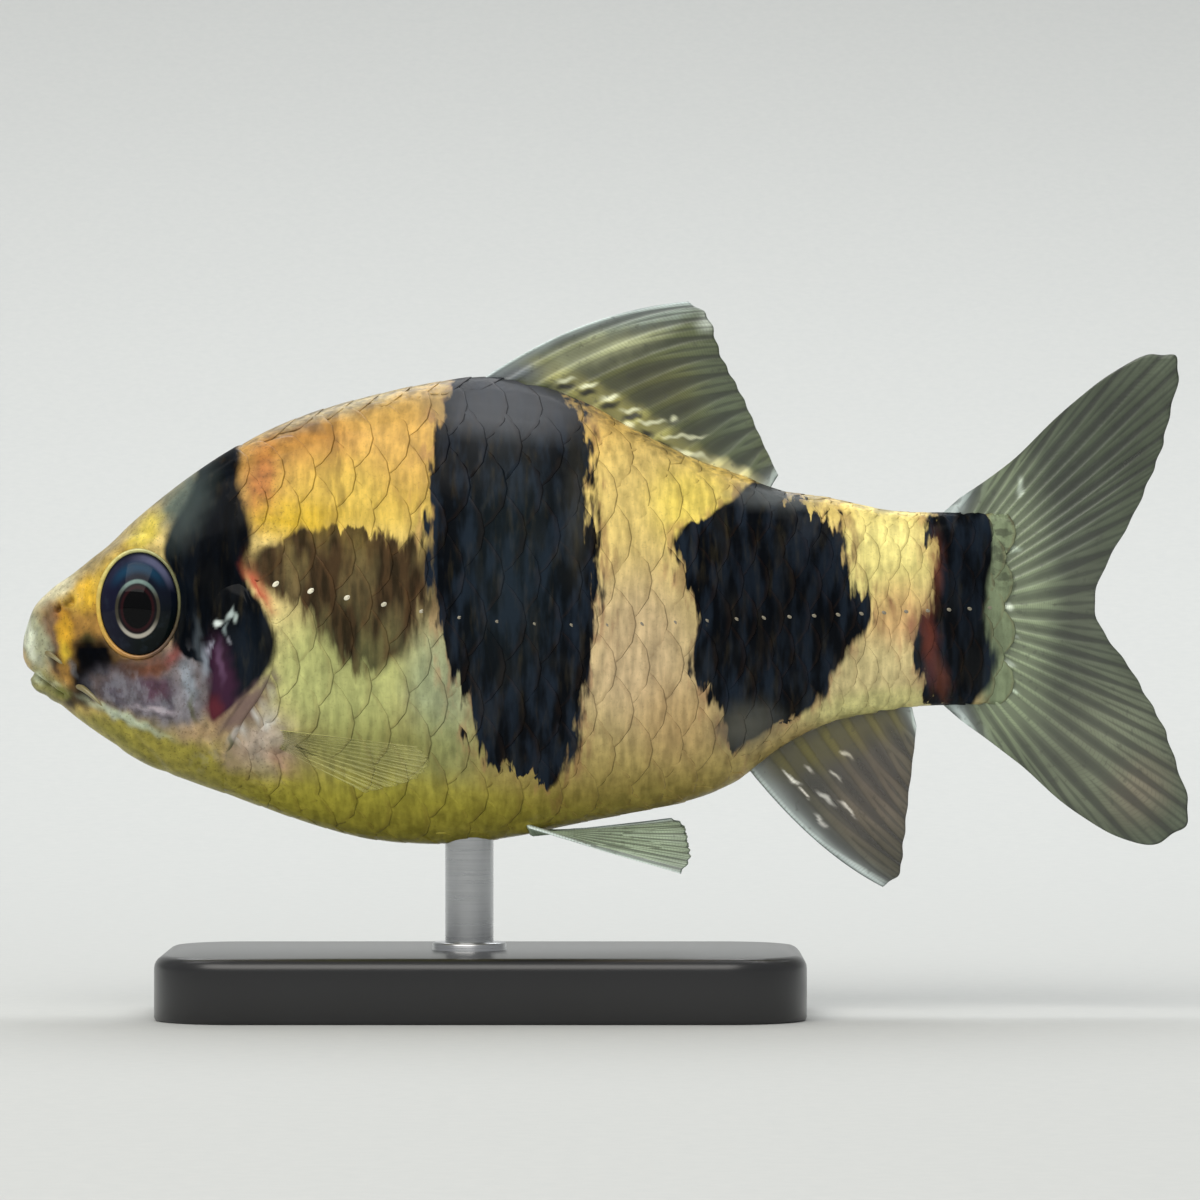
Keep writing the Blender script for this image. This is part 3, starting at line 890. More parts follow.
def marked_material(name, roughness, coat=0.0, coat_roughness=0.03):
    """A material that wears the fish's markings: its tree, its shader, its place and the markings node."""
    material, tree, shader = shaded_material(name, roughness, 0.0, coat, coat_roughness)
    place = object_place(tree)
    marks = tree.nodes.new("ShaderNodeGroup")
    marks.node_tree = markings
    tree.links.new(place, marks.inputs["Place"])
    tree.links.new(marks.outputs["Color"], shader.inputs["Base Color"])
    # Black skin drinks in the light, and the pale skin has a faint gloss.
    tree.links.new(
        scale_add(tree, marks.outputs["Dark"], -0.11, 0.13), shader.inputs["Specular IOR Level"]
    )
    return material, tree, shader, place, marks


skin_material, skin_tree, skin_shader, skin_place, skin_marks = marked_material(
    "wet_skin", 0.4, coat_roughness=0.12
)
skin_tree.links.new(
    scale_add(skin_tree, skin_marks.outputs["Dark"], -0.06, 0.1), skin_shader.inputs["Coat Weight"]
)
skin_shader.inputs["Subsurface Weight"].default_value = 0.08
skin_shader.inputs["Subsurface Radius"].default_value = (0.0016, 0.0009, 0.0005)
skin_shader.inputs["Subsurface Scale"].default_value = 1.0
raise_pattern(skin_tree, skin_shader, noise(skin_tree, skin_place, 2600.0, 4.0), 0.25, 0.00006)

# The cheek is silvered in fine threads over its purple ground.
skin_back, skin_up = (read_points(skin_mesh)[:, [0, 2]] / MM - (SNOUT_X, AXIS_Z)).T
bare = np.zeros((len(skin_back), 3))
silvered = patched(bare, bare[:, :1], SILVER_SKIN, skin_back, skin_up)[1]
keep_form(skin_mesh, silvered[:, 0])
silver_threads = streaks(skin_tree, skin_place, (0.9, 1.0, 0.5), 1900.0, 4.0)
silver_threads = soft_step(skin_tree, silver_threads, 0.46, 0.62)
silver_threads = times(skin_tree, silver_threads, form_parts(skin_tree)[0])
silver_share = times(skin_tree, silver_threads, 0.2)
skin_tone = blend_colour(skin_tree, silver_share, skin_marks.outputs["Color"], pigment(178, 180, 188))
skin_tree.links.new(skin_tone, skin_shader.inputs["Base Color"])
skin_tree.links.new(silver_share, skin_shader.inputs["Metallic"])

tint(skin_mesh)
skin_mesh.materials.append(skin_material)
skin = link_object("skin", skin_mesh)
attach(skin, "root")
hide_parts("head", "trunk", "tail")

# The gill covers: a thin bony plate on each cheek with a soft edge of pale skin. Each is let into the skin in
# front and lifts clear of it behind, where it opens.
GILL_FRONT = (  # above the axis, behind the snout
    (-8.9, 12.9),
    (-7.9, 11.7),
    (-5.8, 10.8),
    (-2.4, 10.4),
    (1.0, 10.6),
    (2.6, 11.4),
    (3.3, 12.9),
)
GILL_FOOT = -8.9
GILL_TOP = 3.3
GILL_LIFT = 0.28
GILL_SUNK = -0.16
GILL_THICKNESS = 0.34
GILL_RIM_ROUND = 0.3
SIDES = (("left", -1), ("right", 1))


def gill_plate(side):
    """The points of one gill cover."""
    mesh, along, height, face = sheets(f"gill_plate_{'left' if side < 0 else 'right'}", 96, 128)
    up = GILL_FOOT + (GILL_TOP - GILL_FOOT) * (1 - np.cos(height * math.pi)) / 2
    front = smooth(GILL_FRONT, up)[..., 0]
    close_ends = np.sqrt(np.clip(1 - np.abs(2 * height - 1) ** 8, 0, 1))
    rear = gill_edge(up) - 0.1
    rear = front + (rear - front) * close_ends
    back = front + (rear - front) * (1 - np.cos(along * math.pi)) / 2
    to_edge = np.minimum.reduce((rear - back, back - front, (GILL_TOP - up) * 0.8, (up - GILL_FOOT) * 0.8))
    rounding = np.sqrt(np.clip(1 - (1 - np.clip(to_edge / GILL_RIM_ROUND, 0, 1)) ** 2, 0, 1))
    rise = ease((back - front) / np.maximum(rear - front, 0.1) / 0.75)
    rise = rise * ease((up - GILL_FOOT) / 1.5) * ease((GILL_TOP - up) / 2.6)
    out = skin_out(back, up) + GILL_SUNK + (GILL_LIFT - GILL_SUNK) * rise
    # The bony plate ends in a step before the soft edge, and low folds run back from its upper corner.
    soft_edge = ease((back - rear + 1.15) / 0.35)
    out -= 0.13 * soft_edge * rise
    angle = np.arctan2(up - 3.2, back - 10.4)
    out += 0.035 * np.cos(angle * 22.0) * ease((rear - back - 0.6) / 1.5) * ease((1.8 - up) / 2.0) * rise
    out += face * GILL_THICKNESS / 2 * rounding - GILL_THICKNESS / 2
    write_points(mesh, world(back, side * out, up))
    keep_form(mesh, soft_edge, rise, rounding)
    close_up(mesh)
    return mesh


gill_material, gill_tree, gill_shader, gill_place, _ = marked_material("gill_cover_skin", 0.32, 0.12, 0.1)
gill_sheen = soft_step(gill_tree, streaks(gill_tree, gill_place, (1.0, 1.0, 0.6), 420.0), 0.42, 0.66)
gill_tree.links.new(times(gill_tree, gill_sheen, 0.1), gill_shader.inputs["Metallic"])
raise_pattern(gill_tree, gill_shader, noise(gill_tree, gill_place, 1900.0, 4.0), 0.3, 0.00006)
for side_name, side in SIDES:
    plate_mesh = gill_plate(side)
    tint(plate_mesh)
    plate_mesh.materials.append(gill_material)
    plate = link_object(f"gill_plate_{side_name}", plate_mesh)
    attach(plate, "root")
    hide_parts(f"gill_cover_{side_name}")

# The scales: thin clear plates of bone in rows that run with the lateral line, each let into the skin at its
# root and lying over the next behind it. They are one joined mesh on each side, and one along the edges.
LATERAL_LINE = ((14.0, 2.6), (15.5, 2.3), (22.4, 1.0), (27.7, 0.1), (34.0, -0.3), (45.0, 0.1), (61.0, 0.8))
ROW_SPACING = (
    (12.0, 2.35), (18.0, 2.6), (26.0, 2.75), (34.0, 2.65), (40.0, 2.4), (46.0, 1.95), (52.0, 1.7),
    (61.0, 1.5),
)
PITCH_SHARE = 0.84
SCALE_LENGTH = 1.95
SCALE_HALF_HEIGHT = 1.06
SCALE_FINGERS = 0.42
SCALE_ROOT_LIFT = -0.075
SCALE_TIP_LIFT = 0.032
SCALE_BULGE = 0.02
SCALE_THICKNESS = 0.02
SCALE_COLUMNS = 7
SCALE_ROWS = 8
SCALE_RIM = 0.09
ROWS_ASIDE = 9  # above the lateral line and below it
BACK_ROW = 30
BELLY_ROW = 40
FIRST_ROOT = 0.8  # how much of the first scales lies under the skin in front
LAST_SCALE = 59.6
PECTORAL_BASE = (16.6, -7.4)  # the fin's fleshy root has no scales
PECTORAL_BARE = 1.9
BAKE_PATCH = 0.003
ARC_STATIONS = np.arange(9.0, 63.01, 0.5)
ARC_TURNS = np.linspace(0.0, math.pi, 361)
chance = np.random.default_rng(7)


def scale_base(back, turn):
    """Out and up of the surface that the scales lie on, which runs on over the root of the tail fin."""
    stretched = np.minimum(back, PADDLE_START + (back - PADDLE_START) * 0.3)
    middle, half_height = section(stretched)[:2]
    half_height = np.where(back > PADDLE_START, section(PADDLE_START)[1] * np.ones_like(back), half_height)
    half_width, fullness = section(np.minimum(back, TAIL_TIP))[2:]
    half_width = np.maximum(half_width * np.clip((64.0 - back) / (64.0 - TAIL_TIP), 0.3, 1.0), 0.22)
    power = 2 / (fullness + np.where(np.cos(turn) < 0, BELLY_FULLNESS, 0.0))
    return half_width * swell(np.sin(turn), power), middle + half_height * swell(np.cos(turn), power)


station_grid, turn_grid = np.meshgrid(ARC_STATIONS, ARC_TURNS, indexing="ij")
arc_out, arc_up = scale_base(station_grid, turn_grid)
arc_steps = np.hypot(np.diff(arc_out, axis=1), np.diff(arc_up, axis=1))
arc_length = np.concatenate([np.zeros((len(ARC_STATIONS), 1)), np.cumsum(arc_steps, axis=1)], axis=1)
girth = arc_length[:, -1]
line_up = smooth(LATERAL_LINE, ARC_STATIONS)[:, 0]
line_arc = np.array([
    np.interp(-height, -heights, lengths) for height, heights, lengths in zip(line_up, arc_up, arc_length)
])
row_spacing = smooth(ROW_SPACING, ARC_STATIONS)[:, 0]
pitch_count = np.concatenate([
    [0.0], np.cumsum(np.diff(ARC_STATIONS) / (PITCH_SHARE * (row_spacing[1:] + row_spacing[:-1]) / 2))
])
# The turn for each share of the half girth, so that a place along the arc finds its turn.
ARC_SHARES = np.linspace(0.0, 1.0, 241)
turn_table = np.array([
    np.interp(ARC_SHARES * lengths[-1], lengths, ARC_TURNS) for lengths in arc_length
])


def turn_at(back, arc):
    """The turn at a distance round the body from the middle of the back, below 0 on the other side."""
    place = np.clip((back - ARC_STATIONS[0]) / 0.5, 0, len(ARC_STATIONS) - 1.001)
    low = place.astype(int)
    between = place - low
    length = girth[low] * (1 - between) + girth[low + 1] * between
    share = arc / length
    wrapped = np.where(share > 1, 2 - share, np.abs(share))
    column = np.clip(wrapped, 0, 1) * 240
    left = np.minimum(column.astype(int), 239)
    rest = column - left
    turn = (
        (turn_table[low, left] * (1 - rest) + turn_table[low, left + 1] * rest) * (1 - between)
        + (turn_table[low + 1, left] * (1 - rest) + turn_table[low + 1, left + 1] * rest) * between
    )
    return np.where(share > 1, 2 * math.pi - turn, np.sign(arc) * turn)


def on_body(back, arc, side):
    """Places on the surface under the scales, in mm, and the way out from it."""
    turn = turn_at(back, arc)
    out, up = scale_base(back, turn)
    out_ahead, up_ahead = scale_base(back + 0.05, turn)
    out_round, up_round = scale_base(back, turn + 0.01)
    run = np.stack([np.full_like(out, 0.05), side * (out_ahead - out), up_ahead - up], axis=-1)
    round_body = np.stack([np.zeros_like(out), side * (out_round - out), up_round - up], axis=-1)
    normal = np.cross(run, round_body) * side
    normal /= np.maximum(np.linalg.norm(normal, axis=1), 1e-9)[:, None]
    return np.stack([SNOUT_X + back, side * out, AXIS_Z + up], axis=-1), normal


def lattice(side):
    """Root place, distance round the body, spacing and row of every scale on one side."""
    rows = []
    for row in range(-ROWS_ASIDE, ROWS_ASIDE + 1):
        first = 0.5 * (row % 2) + 0.25
        counts = np.arange(first, pitch_count[-1], 1.0)
        backs = np.interp(counts, pitch_count, ARC_STATIONS)
        spacing = np.interp(backs, ARC_STATIONS, row_spacing)
        arcs = np.interp(backs, ARC_STATIONS, line_arc) + row * spacing
        length = np.interp(backs, ARC_STATIONS, girth)
        up = scale_base(backs, turn_at(backs, arcs))[1]
        edge = gill_edge(np.clip(up, -13.0, 13.0)) - FIRST_ROOT * SCALE_LENGTH * PITCH_SHARE * spacing
        fits = (arcs > 0.4 * spacing) & (arcs < length - 0.4 * spacing)
        fits &= (backs > edge) & (backs < LAST_SCALE)
        fits &= np.hypot(backs + spacing * 0.8 - PECTORAL_BASE[0], up - PECTORAL_BASE[1]) > PECTORAL_BARE
        rows += [(b, a, s, row) for b, a, s in zip(backs[fits], arcs[fits], spacing[fits])]
    return np.array(rows)


def edge_rows():
    """The single rows along the middle of the back and of the belly, except where a fin stands."""
    rows = []
    for at_belly, spans in ((False, ((13.6, 27.0), (46.6, 57.0))), (True, ((13.4, 43.0), (55.3, 57.2)))):
        for start, end in spans:
            place = start
            while place < end:
                here = np.interp(place, ARC_STATIONS, row_spacing) * 0.82
                arc = np.interp(place, ARC_STATIONS, girth) if at_belly else 0.0
                rows.append((place, arc, here, BELLY_ROW if at_belly else BACK_ROW))
                place += here * PITCH_SHARE
    return np.array(rows)


def repeated(name, plate, count):
    """A mesh of many copies of one, and which copy each of its points is in."""
    pattern = link_object(f"{name}_pattern", plate)
    repeat = pattern.modifiers.new("copies", "ARRAY")
    repeat.count = count
    repeat.use_relative_offset = False
    repeat.use_constant_offset = True
    repeat.constant_offset_displace = (4.0, 0.0, 0.0)
    mesh = bpy.data.meshes.new_from_object(pattern.evaluated_get(bpy.context.evaluated_depsgraph_get()))
    mesh.name = name
    bpy.data.objects.remove(pattern)
    return mesh, np.arange(len(mesh.vertices)) // (len(mesh.vertices) // count)


def scale_coat(name, places, side):
    """One mesh of every scale in a list."""
    plate, along, across, face = sheets(f"{name}_one", SCALE_COLUMNS, SCALE_ROWS)
    mesh, which = repeated(name, plate, len(places))
    # The faces are short near the rim, so that it stays crisp.
    grids = (np.sin(along * math.pi / 2), across, face)
    along, across, face = (np.tile(values, len(places)) for values in grids)
    back, arc, spacing, row = places[which].T
    luck = chance.uniform(-1, 1, (len(places), 4))[which]
    b = np.sin((across - 0.5) * math.pi)
    # The root is narrower than the middle, and the rear edge is round.
    half = SCALE_HALF_HEIGHT * spacing * (0.72 + 0.28 * np.sin(np.clip(along * 1.25, 0, 1) * math.pi / 2))
    length = SCALE_LENGTH * PITCH_SHARE * spacing * (1 + 0.04 * luck[:, 0])
    reach = length * along * (1 - SCALE_FINGERS * np.abs(b) ** 2.2 * along)
    place_back = back + reach
    drift = np.interp(place_back, ARC_STATIONS, line_arc) - np.interp(back, ARC_STATIONS, line_arc)
    drift = np.where(row >= BACK_ROW, 0.0, drift)
    girth_drift = np.interp(place_back, ARC_STATIONS, girth) - np.interp(back, ARC_STATIONS, girth)
    drift = np.where(row == BELLY_ROW, girth_drift, drift)
    place_arc = arc + drift + b * half * (1 + 0.03 * luck[:, 1])
    ground, normal = on_body(place_back, place_arc, side)
    # A scale rises with its reach behind the root, so that each lies over the ones behind it.
    small = np.clip(spacing / 2.4, 0.5, 1.0)
    gone = reach / length
    lift = SCALE_ROOT_LIFT + (SCALE_TIP_LIFT - SCALE_ROOT_LIFT) * gone * small
    lift += SCALE_BULGE * (1 - b * b) * np.sin(np.clip(along, 0, 1) * math.pi) * small
    lift += 0.01 * luck[:, 2] * gone + 0.008 * luck[:, 3] * b * gone
    rim = np.minimum((1 - np.abs(b)) * half, (1 - along) * length)
    rim = np.minimum(rim, along * length + 0.02)
    rounding = np.sqrt(np.clip(1 - (1 - np.clip(rim / SCALE_RIM, 0, 1)) ** 2, 0, 1))
    lift += face * SCALE_THICKNESS / 2 * rounding
    write_points(mesh, (ground + normal * lift[:, None]) * MM)
    keep_form(mesh, along, b * 0.5 + 0.5, luck[:, 0] * 0.5 + 0.5, luck[:, 2] * 0.5 + 0.5)
    round_share = np.clip(arc / np.interp(back, ARC_STATIONS, girth), 0, 1)
    root = np.stack([0.5 + side * 0.46 * round_share, back / 64.0], axis=-1)
    uv = root + np.stack([b * 0.5, along - 0.5], axis=-1) * BAKE_PATCH
    corners = np.empty(len(mesh.loops), np.int32)
    mesh.loops.foreach_get("vertex_index", corners)
    for layer in list(mesh.uv_layers):
        mesh.uv_layers.remove(layer)
    bake = mesh.uv_layers.new(name="OFBake")
    bake.data.foreach_set("uv", uv[corners].astype(np.float32).ravel())
    close_up(mesh)
    tint(mesh)
    mesh.materials.append(scale_material)
    coat = link_object(name, mesh)
    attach(coat, "root")
    return coat


scale_material, scale_tree, scale_shader, scale_place, scale_marks = marked_material(
    "scales", 0.36, 0.08, 0.15
)
scale_along, scale_across, scale_luck, _ = form_parts(scale_tree)
grain = scale_add(scale_tree, scale_luck, 2.0, -1.0)
scale_tree.links.new(grain, scale_marks.inputs["Grain"])
# Growth rings and the fan of fine grooves from the root.
rings = calc(scale_tree, "SINE", times(scale_tree, scale_along, 62.0))
off_middle = calc(scale_tree, "SUBTRACT", scale_across, 0.5)
fan = calc(scale_tree, "DIVIDE", off_middle, calc(scale_tree, "ADD", scale_along, 0.25))
fan = calc(scale_tree, "SINE", times(scale_tree, fan, 58.0))
scale_height = scale_add(scale_tree, fan, 0.6, times(scale_tree, rings, 0.4))
raise_pattern(scale_tree, scale_shader, scale_height, 0.22, 0.00002)
# A brown thread of pigment runs inside the rim of each scale, broken here and there.
rim_line = times(
    scale_tree, soft_step(scale_tree, scale_along, 0.88, 0.96),
    soft_step(scale_tree, streaks(scale_tree, scale_place, EVEN, 700.0, 2.0), 0.3, 0.55),
)
rim_depth = scale_add(scale_tree, scale_marks.outputs["Dark"], -0.14, 0.17)
rim_line = times(scale_tree, rim_line, rim_depth)
scale_tone = blend_colour(scale_tree, rim_line, scale_marks.outputs["Color"], pigment(120, 84, 48))
scale_tree.links.new(scale_tone, scale_shader.inputs["Base Color"])
silver = soft_step(scale_tree, scale_along, 0.35, 0.9)
silver_depth = scale_add(scale_tree, scale_marks.outputs["Dark"], -0.1, 0.14)
silver = times(scale_tree, silver, silver_depth)
scale_tree.links.new(silver, scale_shader.inputs["Metallic"])

left_places = lattice(-1)
right_places = lattice(1)
scale_coat("scales_left", left_places, -1)
scale_coat("scales_right", right_places, 1)
scale_coat("scales_edge", edge_rows(), 1)

# The lateral line: a short raised tube with an open pore on each scale of its row, let into the scale. The
# tubes are bone like the scales, and clearest near the head.
PORE_LENGTH = 0.19
PORE_HALF_HEIGHT = 0.15
PORE_HEIGHT = 0.06
pore_material, pore_tree, pore_shader = shaded_material("pore_tube", roughness=0.3, coat=0.5)
pore_tone = blend_colour(pore_tree, form_parts(pore_tree)[3], pigment(110, 102, 84), pigment(232, 226, 200))
pore_tree.links.new(pore_tone, pore_shader.inputs["Base Color"])
for side_name, side, places in (("left", -1, left_places), ("right", 1, right_places)):
    line = places[places[:, 3] == 0]
    dome = bmesh.new()
    bmesh.ops.create_uvsphere(dome, u_segments=16, v_segments=10, radius=1.0)
    dome_mesh = mesh_from(f"pore_{side_name}", dome)
    shape = np.tile(read_points(dome_mesh), (len(line), 1))
    pore_mesh, which = repeated(f"pores_{side_name}", dome_mesh, len(line))
    root_back, _, spacing, _ = line[which].T
    bright = np.clip((26.0 - root_back) / 10.0, 0.1, 1.0)
    size = 0.7 + 0.5 * bright
    centre_back = root_back + SCALE_LENGTH * PITCH_SHARE * spacing * 0.62
    centre_arc = np.interp(centre_back, ARC_STATIONS, line_arc)
    pore_back = centre_back + shape[:, 0] * PORE_LENGTH * size
    pore_arc = centre_arc + shape[:, 1] * PORE_HALF_HEIGHT * size
    place, out_way = on_body(pore_back, pore_arc, side)
    pit = 0.5 * bump(np.hypot(shape[:, 0] - 0.45, shape[:, 1]), 0.3) * (shape[:, 2] > 0)
    rise = SCALE_ROOT_LIFT * 0.4 + SCALE_TIP_LIFT * 0.7 + PORE_HEIGHT * (shape[:, 2] - pit) * size
    write_points(pore_mesh, (place + out_way * rise[:, None]) * MM)
    keep_form(pore_mesh, shape[:, 0], shape[:, 1], pit, bright * (1 - pit))
    close_up(pore_mesh)
    pore_mesh.materials.append(pore_material)
    pores = link_object(f"pores_{side_name}", pore_mesh)
    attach(pores, "root")

# The eyes: a clear wet dome over a dark blue iris with a pale ring round the pupil, set in the socket behind
# a thin golden ring of skin.
TUBE_SIDES = 20
PUPIL = (7.36, 0.7)
PUPIL_SIZE = (0.9, 1.24)
RING_SIZE = (1.31, 1.71)


def tube(name, path, radii, across, closed=False):
    """A round tube through points. Its ends close to a point unless the path is a loop."""
    source = bmesh.new()
    spans = len(path) if closed else len(path) - 1
    bmesh.ops.create_grid(source, x_segments=spans, y_segments=TUBE_SIDES, size=0.5)
    mesh = mesh_from(name, source)
    grid = read_points(mesh)
    step = np.rint((grid[:, 0] + 0.5) * spans).astype(int) % len(path)
    round_turn = (grid[:, 1] + 0.5) * 2 * math.pi
    path = np.asarray(path, float)
    run = np.roll(path, -1, axis=0) - np.roll(path, 1, axis=0)
    if not closed:
        run[0], run[-1] = path[1] - path[0], path[-1] - path[-2]
    run /= np.linalg.norm(run, axis=1)[:, None]
    first = np.cross(run, across)
    first /= np.linalg.norm(first, axis=1)[:, None]
    second = np.cross(run, first)
    offset = first[step] * np.cos(round_turn)[:, None] + second[step] * np.sin(round_turn)[:, None]
    write_points(mesh, path[step] + offset * np.asarray(radii)[step][:, None] * MM)
    keep_form(mesh, step / len(path), round_turn / (2 * math.pi))
    close_up(mesh)
    return mesh


def oval_share(tree, place, centre, size):
    """1 on an oval in the side view, 0 at its centre."""
    middle = ((SNOUT_X + centre[0]) * MM, 0.0, (AXIS_Z + centre[1]) * MM)
    moved = vector_calc(tree, "SUBTRACT", place, middle)
    scale = (1 / (size[0] * MM), 0.0, 1 / (size[1] * MM))
    scaled = vector_calc(tree, "MULTIPLY", moved, scale)
    return wire(tree, "ShaderNodeVectorMath", {0: scaled}, operation="LENGTH").outputs["Value"], moved


eye_material, eye_tree, eye_shader = shaded_material("eye", 0.35, 0.0, 0.32, 0.015)
eye_shader.inputs["Coat IOR"].default_value = 1.38
eye_shader.inputs["Specular IOR Level"].default_value = 0.02
eye_spot = object_place(eye_tree)
pupil_share, from_pupil = oval_share(eye_tree, eye_spot, PUPIL, PUPIL_SIZE)
ring_share, _ = oval_share(eye_tree, eye_spot, PUPIL, RING_SIZE)
ball_share, _ = oval_share(eye_tree, eye_spot, EYE, EYE_RIM)
eye_height = wire(eye_tree, "ShaderNodeSeparateXYZ", {0: from_pupil}).outputs[2]
upper_half = soft_step(eye_tree, eye_height, -1.2 * MM, 1.6 * MM)
iris_fibres = streaks(eye_tree, eye_spot, EVEN, 1500.0, 4.0)
eye_across = wire(eye_tree, "ShaderNodeSeparateXYZ", {0: from_pupil}).outputs[0]
front_half = soft_drop(eye_tree, eye_across, -1.6 * MM, 0.2 * MM)
iris = blend_colour(eye_tree, upper_half, pigment(8, 15, 15), pigment(11, 16, 30))
iris = blend_colour(eye_tree, times(eye_tree, front_half, 0.35), iris, pigment(26, 22, 52))
# A teal glow over the pupil and a pale violet crescent under the upper rim.
teal = times(
    eye_tree, soft_step(eye_tree, ball_share, 0.5, 0.66),
    soft_drop(eye_tree, ball_share, 0.68, 0.86),
)
teal = times(eye_tree, teal, soft_step(eye_tree, eye_height, 1.0 * MM, 2.4 * MM))
iris = blend_colour(eye_tree, times(eye_tree, teal, 0.75), iris, pigment(22, 62, 88))
crescent = times(
    eye_tree, soft_step(eye_tree, ball_share, 0.72, 0.82),
    soft_drop(eye_tree, ball_share, 0.86, 0.95),
)
crescent = times(eye_tree, crescent, soft_step(eye_tree, eye_height, 0.9 * MM, 2.4 * MM))
crescent_rear = scale_add(eye_tree, soft_step(eye_tree, eye_across, -0.9 * MM, 0.9 * MM), 0.68, 0.07)
crescent = times(eye_tree, crescent, crescent_rear)
iris = blend_colour(eye_tree, crescent, iris, pigment(98, 100, 128))
fibre_share = times(eye_tree, soft_step(eye_tree, iris_fibres, 0.5, 0.7), 0.2)
iris = blend_colour(eye_tree, fibre_share, iris, pigment(44, 54, 66))
iris = blend_colour(eye_tree, soft_step(eye_tree, ball_share, 0.88, 0.98), iris, pigment(7, 8, 10))
ring_mask = times(
    eye_tree, soft_step(eye_tree, ring_share, 0.88, 0.96),
    soft_drop(eye_tree, ring_share, 1.02, 1.1),
)
ring_ends = soft_step(eye_tree, calc(eye_tree, "ABSOLUTE", eye_height), 0.5 * MM, 1.6 * MM)
ring_colour = blend_colour(eye_tree, upper_half, pigment(192, 186, 172), pigment(112, 134, 128))
ring_colour = blend_colour(eye_tree, ring_ends, pigment(72, 68, 56), ring_colour)
inside_ring = soft_drop(eye_tree, ring_share, 0.93, 0.99)
iris = blend_colour(eye_tree, inside_ring, iris, pigment(14, 12, 16))
iris = blend_colour(eye_tree, times(eye_tree, ring_mask, 0.92), iris, ring_colour)
fringe = soft_drop(eye_tree, pupil_share, 1.08, 1.24)
iris = blend_colour(eye_tree, times(eye_tree, fringe, 0.6), iris, pigment(48, 14, 18))
pupil = soft_drop(eye_tree, pupil_share, 0.94, 1.04)
iris = blend_colour(eye_tree, pupil, iris, pigment(3, 3, 4))
eye_tree.links.new(iris, eye_shader.inputs["Base Color"])
eye_tree.links.new(times(eye_tree, ring_mask, 0.7), eye_shader.inputs["Metallic"])
# The iris dips towards the pupil under its clear dome, so only the coat keeps the ball's own roundness.
iris_dip = soft_step(eye_tree, ring_share, 0.5, 1.6)
eye_relief = scale_add(eye_tree, iris_fibres, 0.1, iris_dip)
raise_pattern(eye_tree, eye_shader, eye_relief, 0.6, 0.0004)

rim_material, rim_tree, rim_shader = shaded_material("eye_ring_skin", 0.3, metallic=0.3, coat=0.5)
rim_ground = wire(rim_tree, "ShaderNodeAttribute", attribute_name="ground")
rim_spot = object_place(rim_tree)
rim_flecks = streaks(rim_tree, rim_spot, EVEN, 2400.0, 3.0)
rim_flecks = scale_add(rim_tree, rim_flecks, 0.9, 0.55)
rim_tone = enlarge(rim_tree, rim_ground.outputs["Color"], rim_flecks)
rim_tree.links.new(rim_tone, rim_shader.inputs["Base Color"])
RIM_TONES = (  # share of the way round from the rear, over the top
    (0.0, (104, 104, 70)),
    (0.14, (128, 128, 88)),
    (0.27, (196, 194, 130)),
    (0.4, (222, 204, 112)),
    (0.55, (222, 184, 78)),
    (0.68, (186, 136, 62)),
    (0.8, (92, 62, 40)),
    (0.92, (84, 72, 50)),
)
for side_name, side in SIDES:
    ball = bmesh.new()
    bmesh.ops.create_uvsphere(ball, u_segments=128, v_segments=96, radius=1.0)
    bmesh.ops.rotate(ball, matrix=Matrix.Rotation(math.pi / 2, 3, "X"), verts=ball.verts)
    bulge = [0.1 * math.exp(-((v.co.x / 0.55) ** 2 + (v.co.z / 0.55) ** 2)) for v in ball.verts]
    for vert, lift in zip(ball.verts, bulge):
        vert.co.y *= 1 + lift
    turned = eye_frame(side).to_4x4()
    centre = Matrix.Translation(world(EYE[0], EYE_BALL_OUT * side, EYE[1]).tolist())
    size = Matrix.Diagonal((*(radius * MM for radius in EYE_BALL), 1.0))
    bmesh.ops.transform(ball, matrix=centre @ turned @ size, verts=ball.verts)
    ball_mesh = mesh_from(f"eye_{side_name}_ball", ball)
    close_up(ball_mesh)
    ball_mesh.materials.append(eye_material)
    eye_ball = link_object(f"eye_{side_name}_ball", ball_mesh)
    turns = np.arange(144) / 144 * 2 * math.pi
    ring_back = EYE[0] + EYE_RIM[0] * 0.985 * np.cos(turns)
    ring_up = EYE[1] + EYE_RIM[1] * 0.985 * np.sin(turns)
    ring_out = eye_out(ring_back, ring_up) + 0.06
    ring_path = world(ring_back, side * ring_out, ring_up)
    rim_radii = 0.145 - 0.03 * np.cos(turns - 0.3) + 0.008 * np.sin(turns * 5)
    ring_mesh = tube(f"eye_{side_name}_ring", ring_path, rim_radii, (0, 1, 0), closed=True)
    ring_points = read_points(ring_mesh) / MM
    ring_turn = np.arctan2(ring_points[:, 2] - AXIS_Z - EYE[1], ring_points[:, 0] - SNOUT_X - EYE[0])
    stops = [place for place, _ in RIM_TONES]
    tones = np.array([pigment(*tone) for _, tone in RIM_TONES])
    ring_tones = [np.interp(ring_turn / (2 * math.pi) % 1, stops, tones[:, i], period=1) for i in range(4)]
    store(ring_mesh, "ground", np.stack(ring_tones, axis=-1))
    ring_mesh.materials.append(rim_material)
    eye_ring = link_object(f"eye_{side_name}_ring", ring_mesh)
    for piece in (eye_ball, eye_ring):
        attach(piece, "root")
    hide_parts(f"eye_{side_name}")

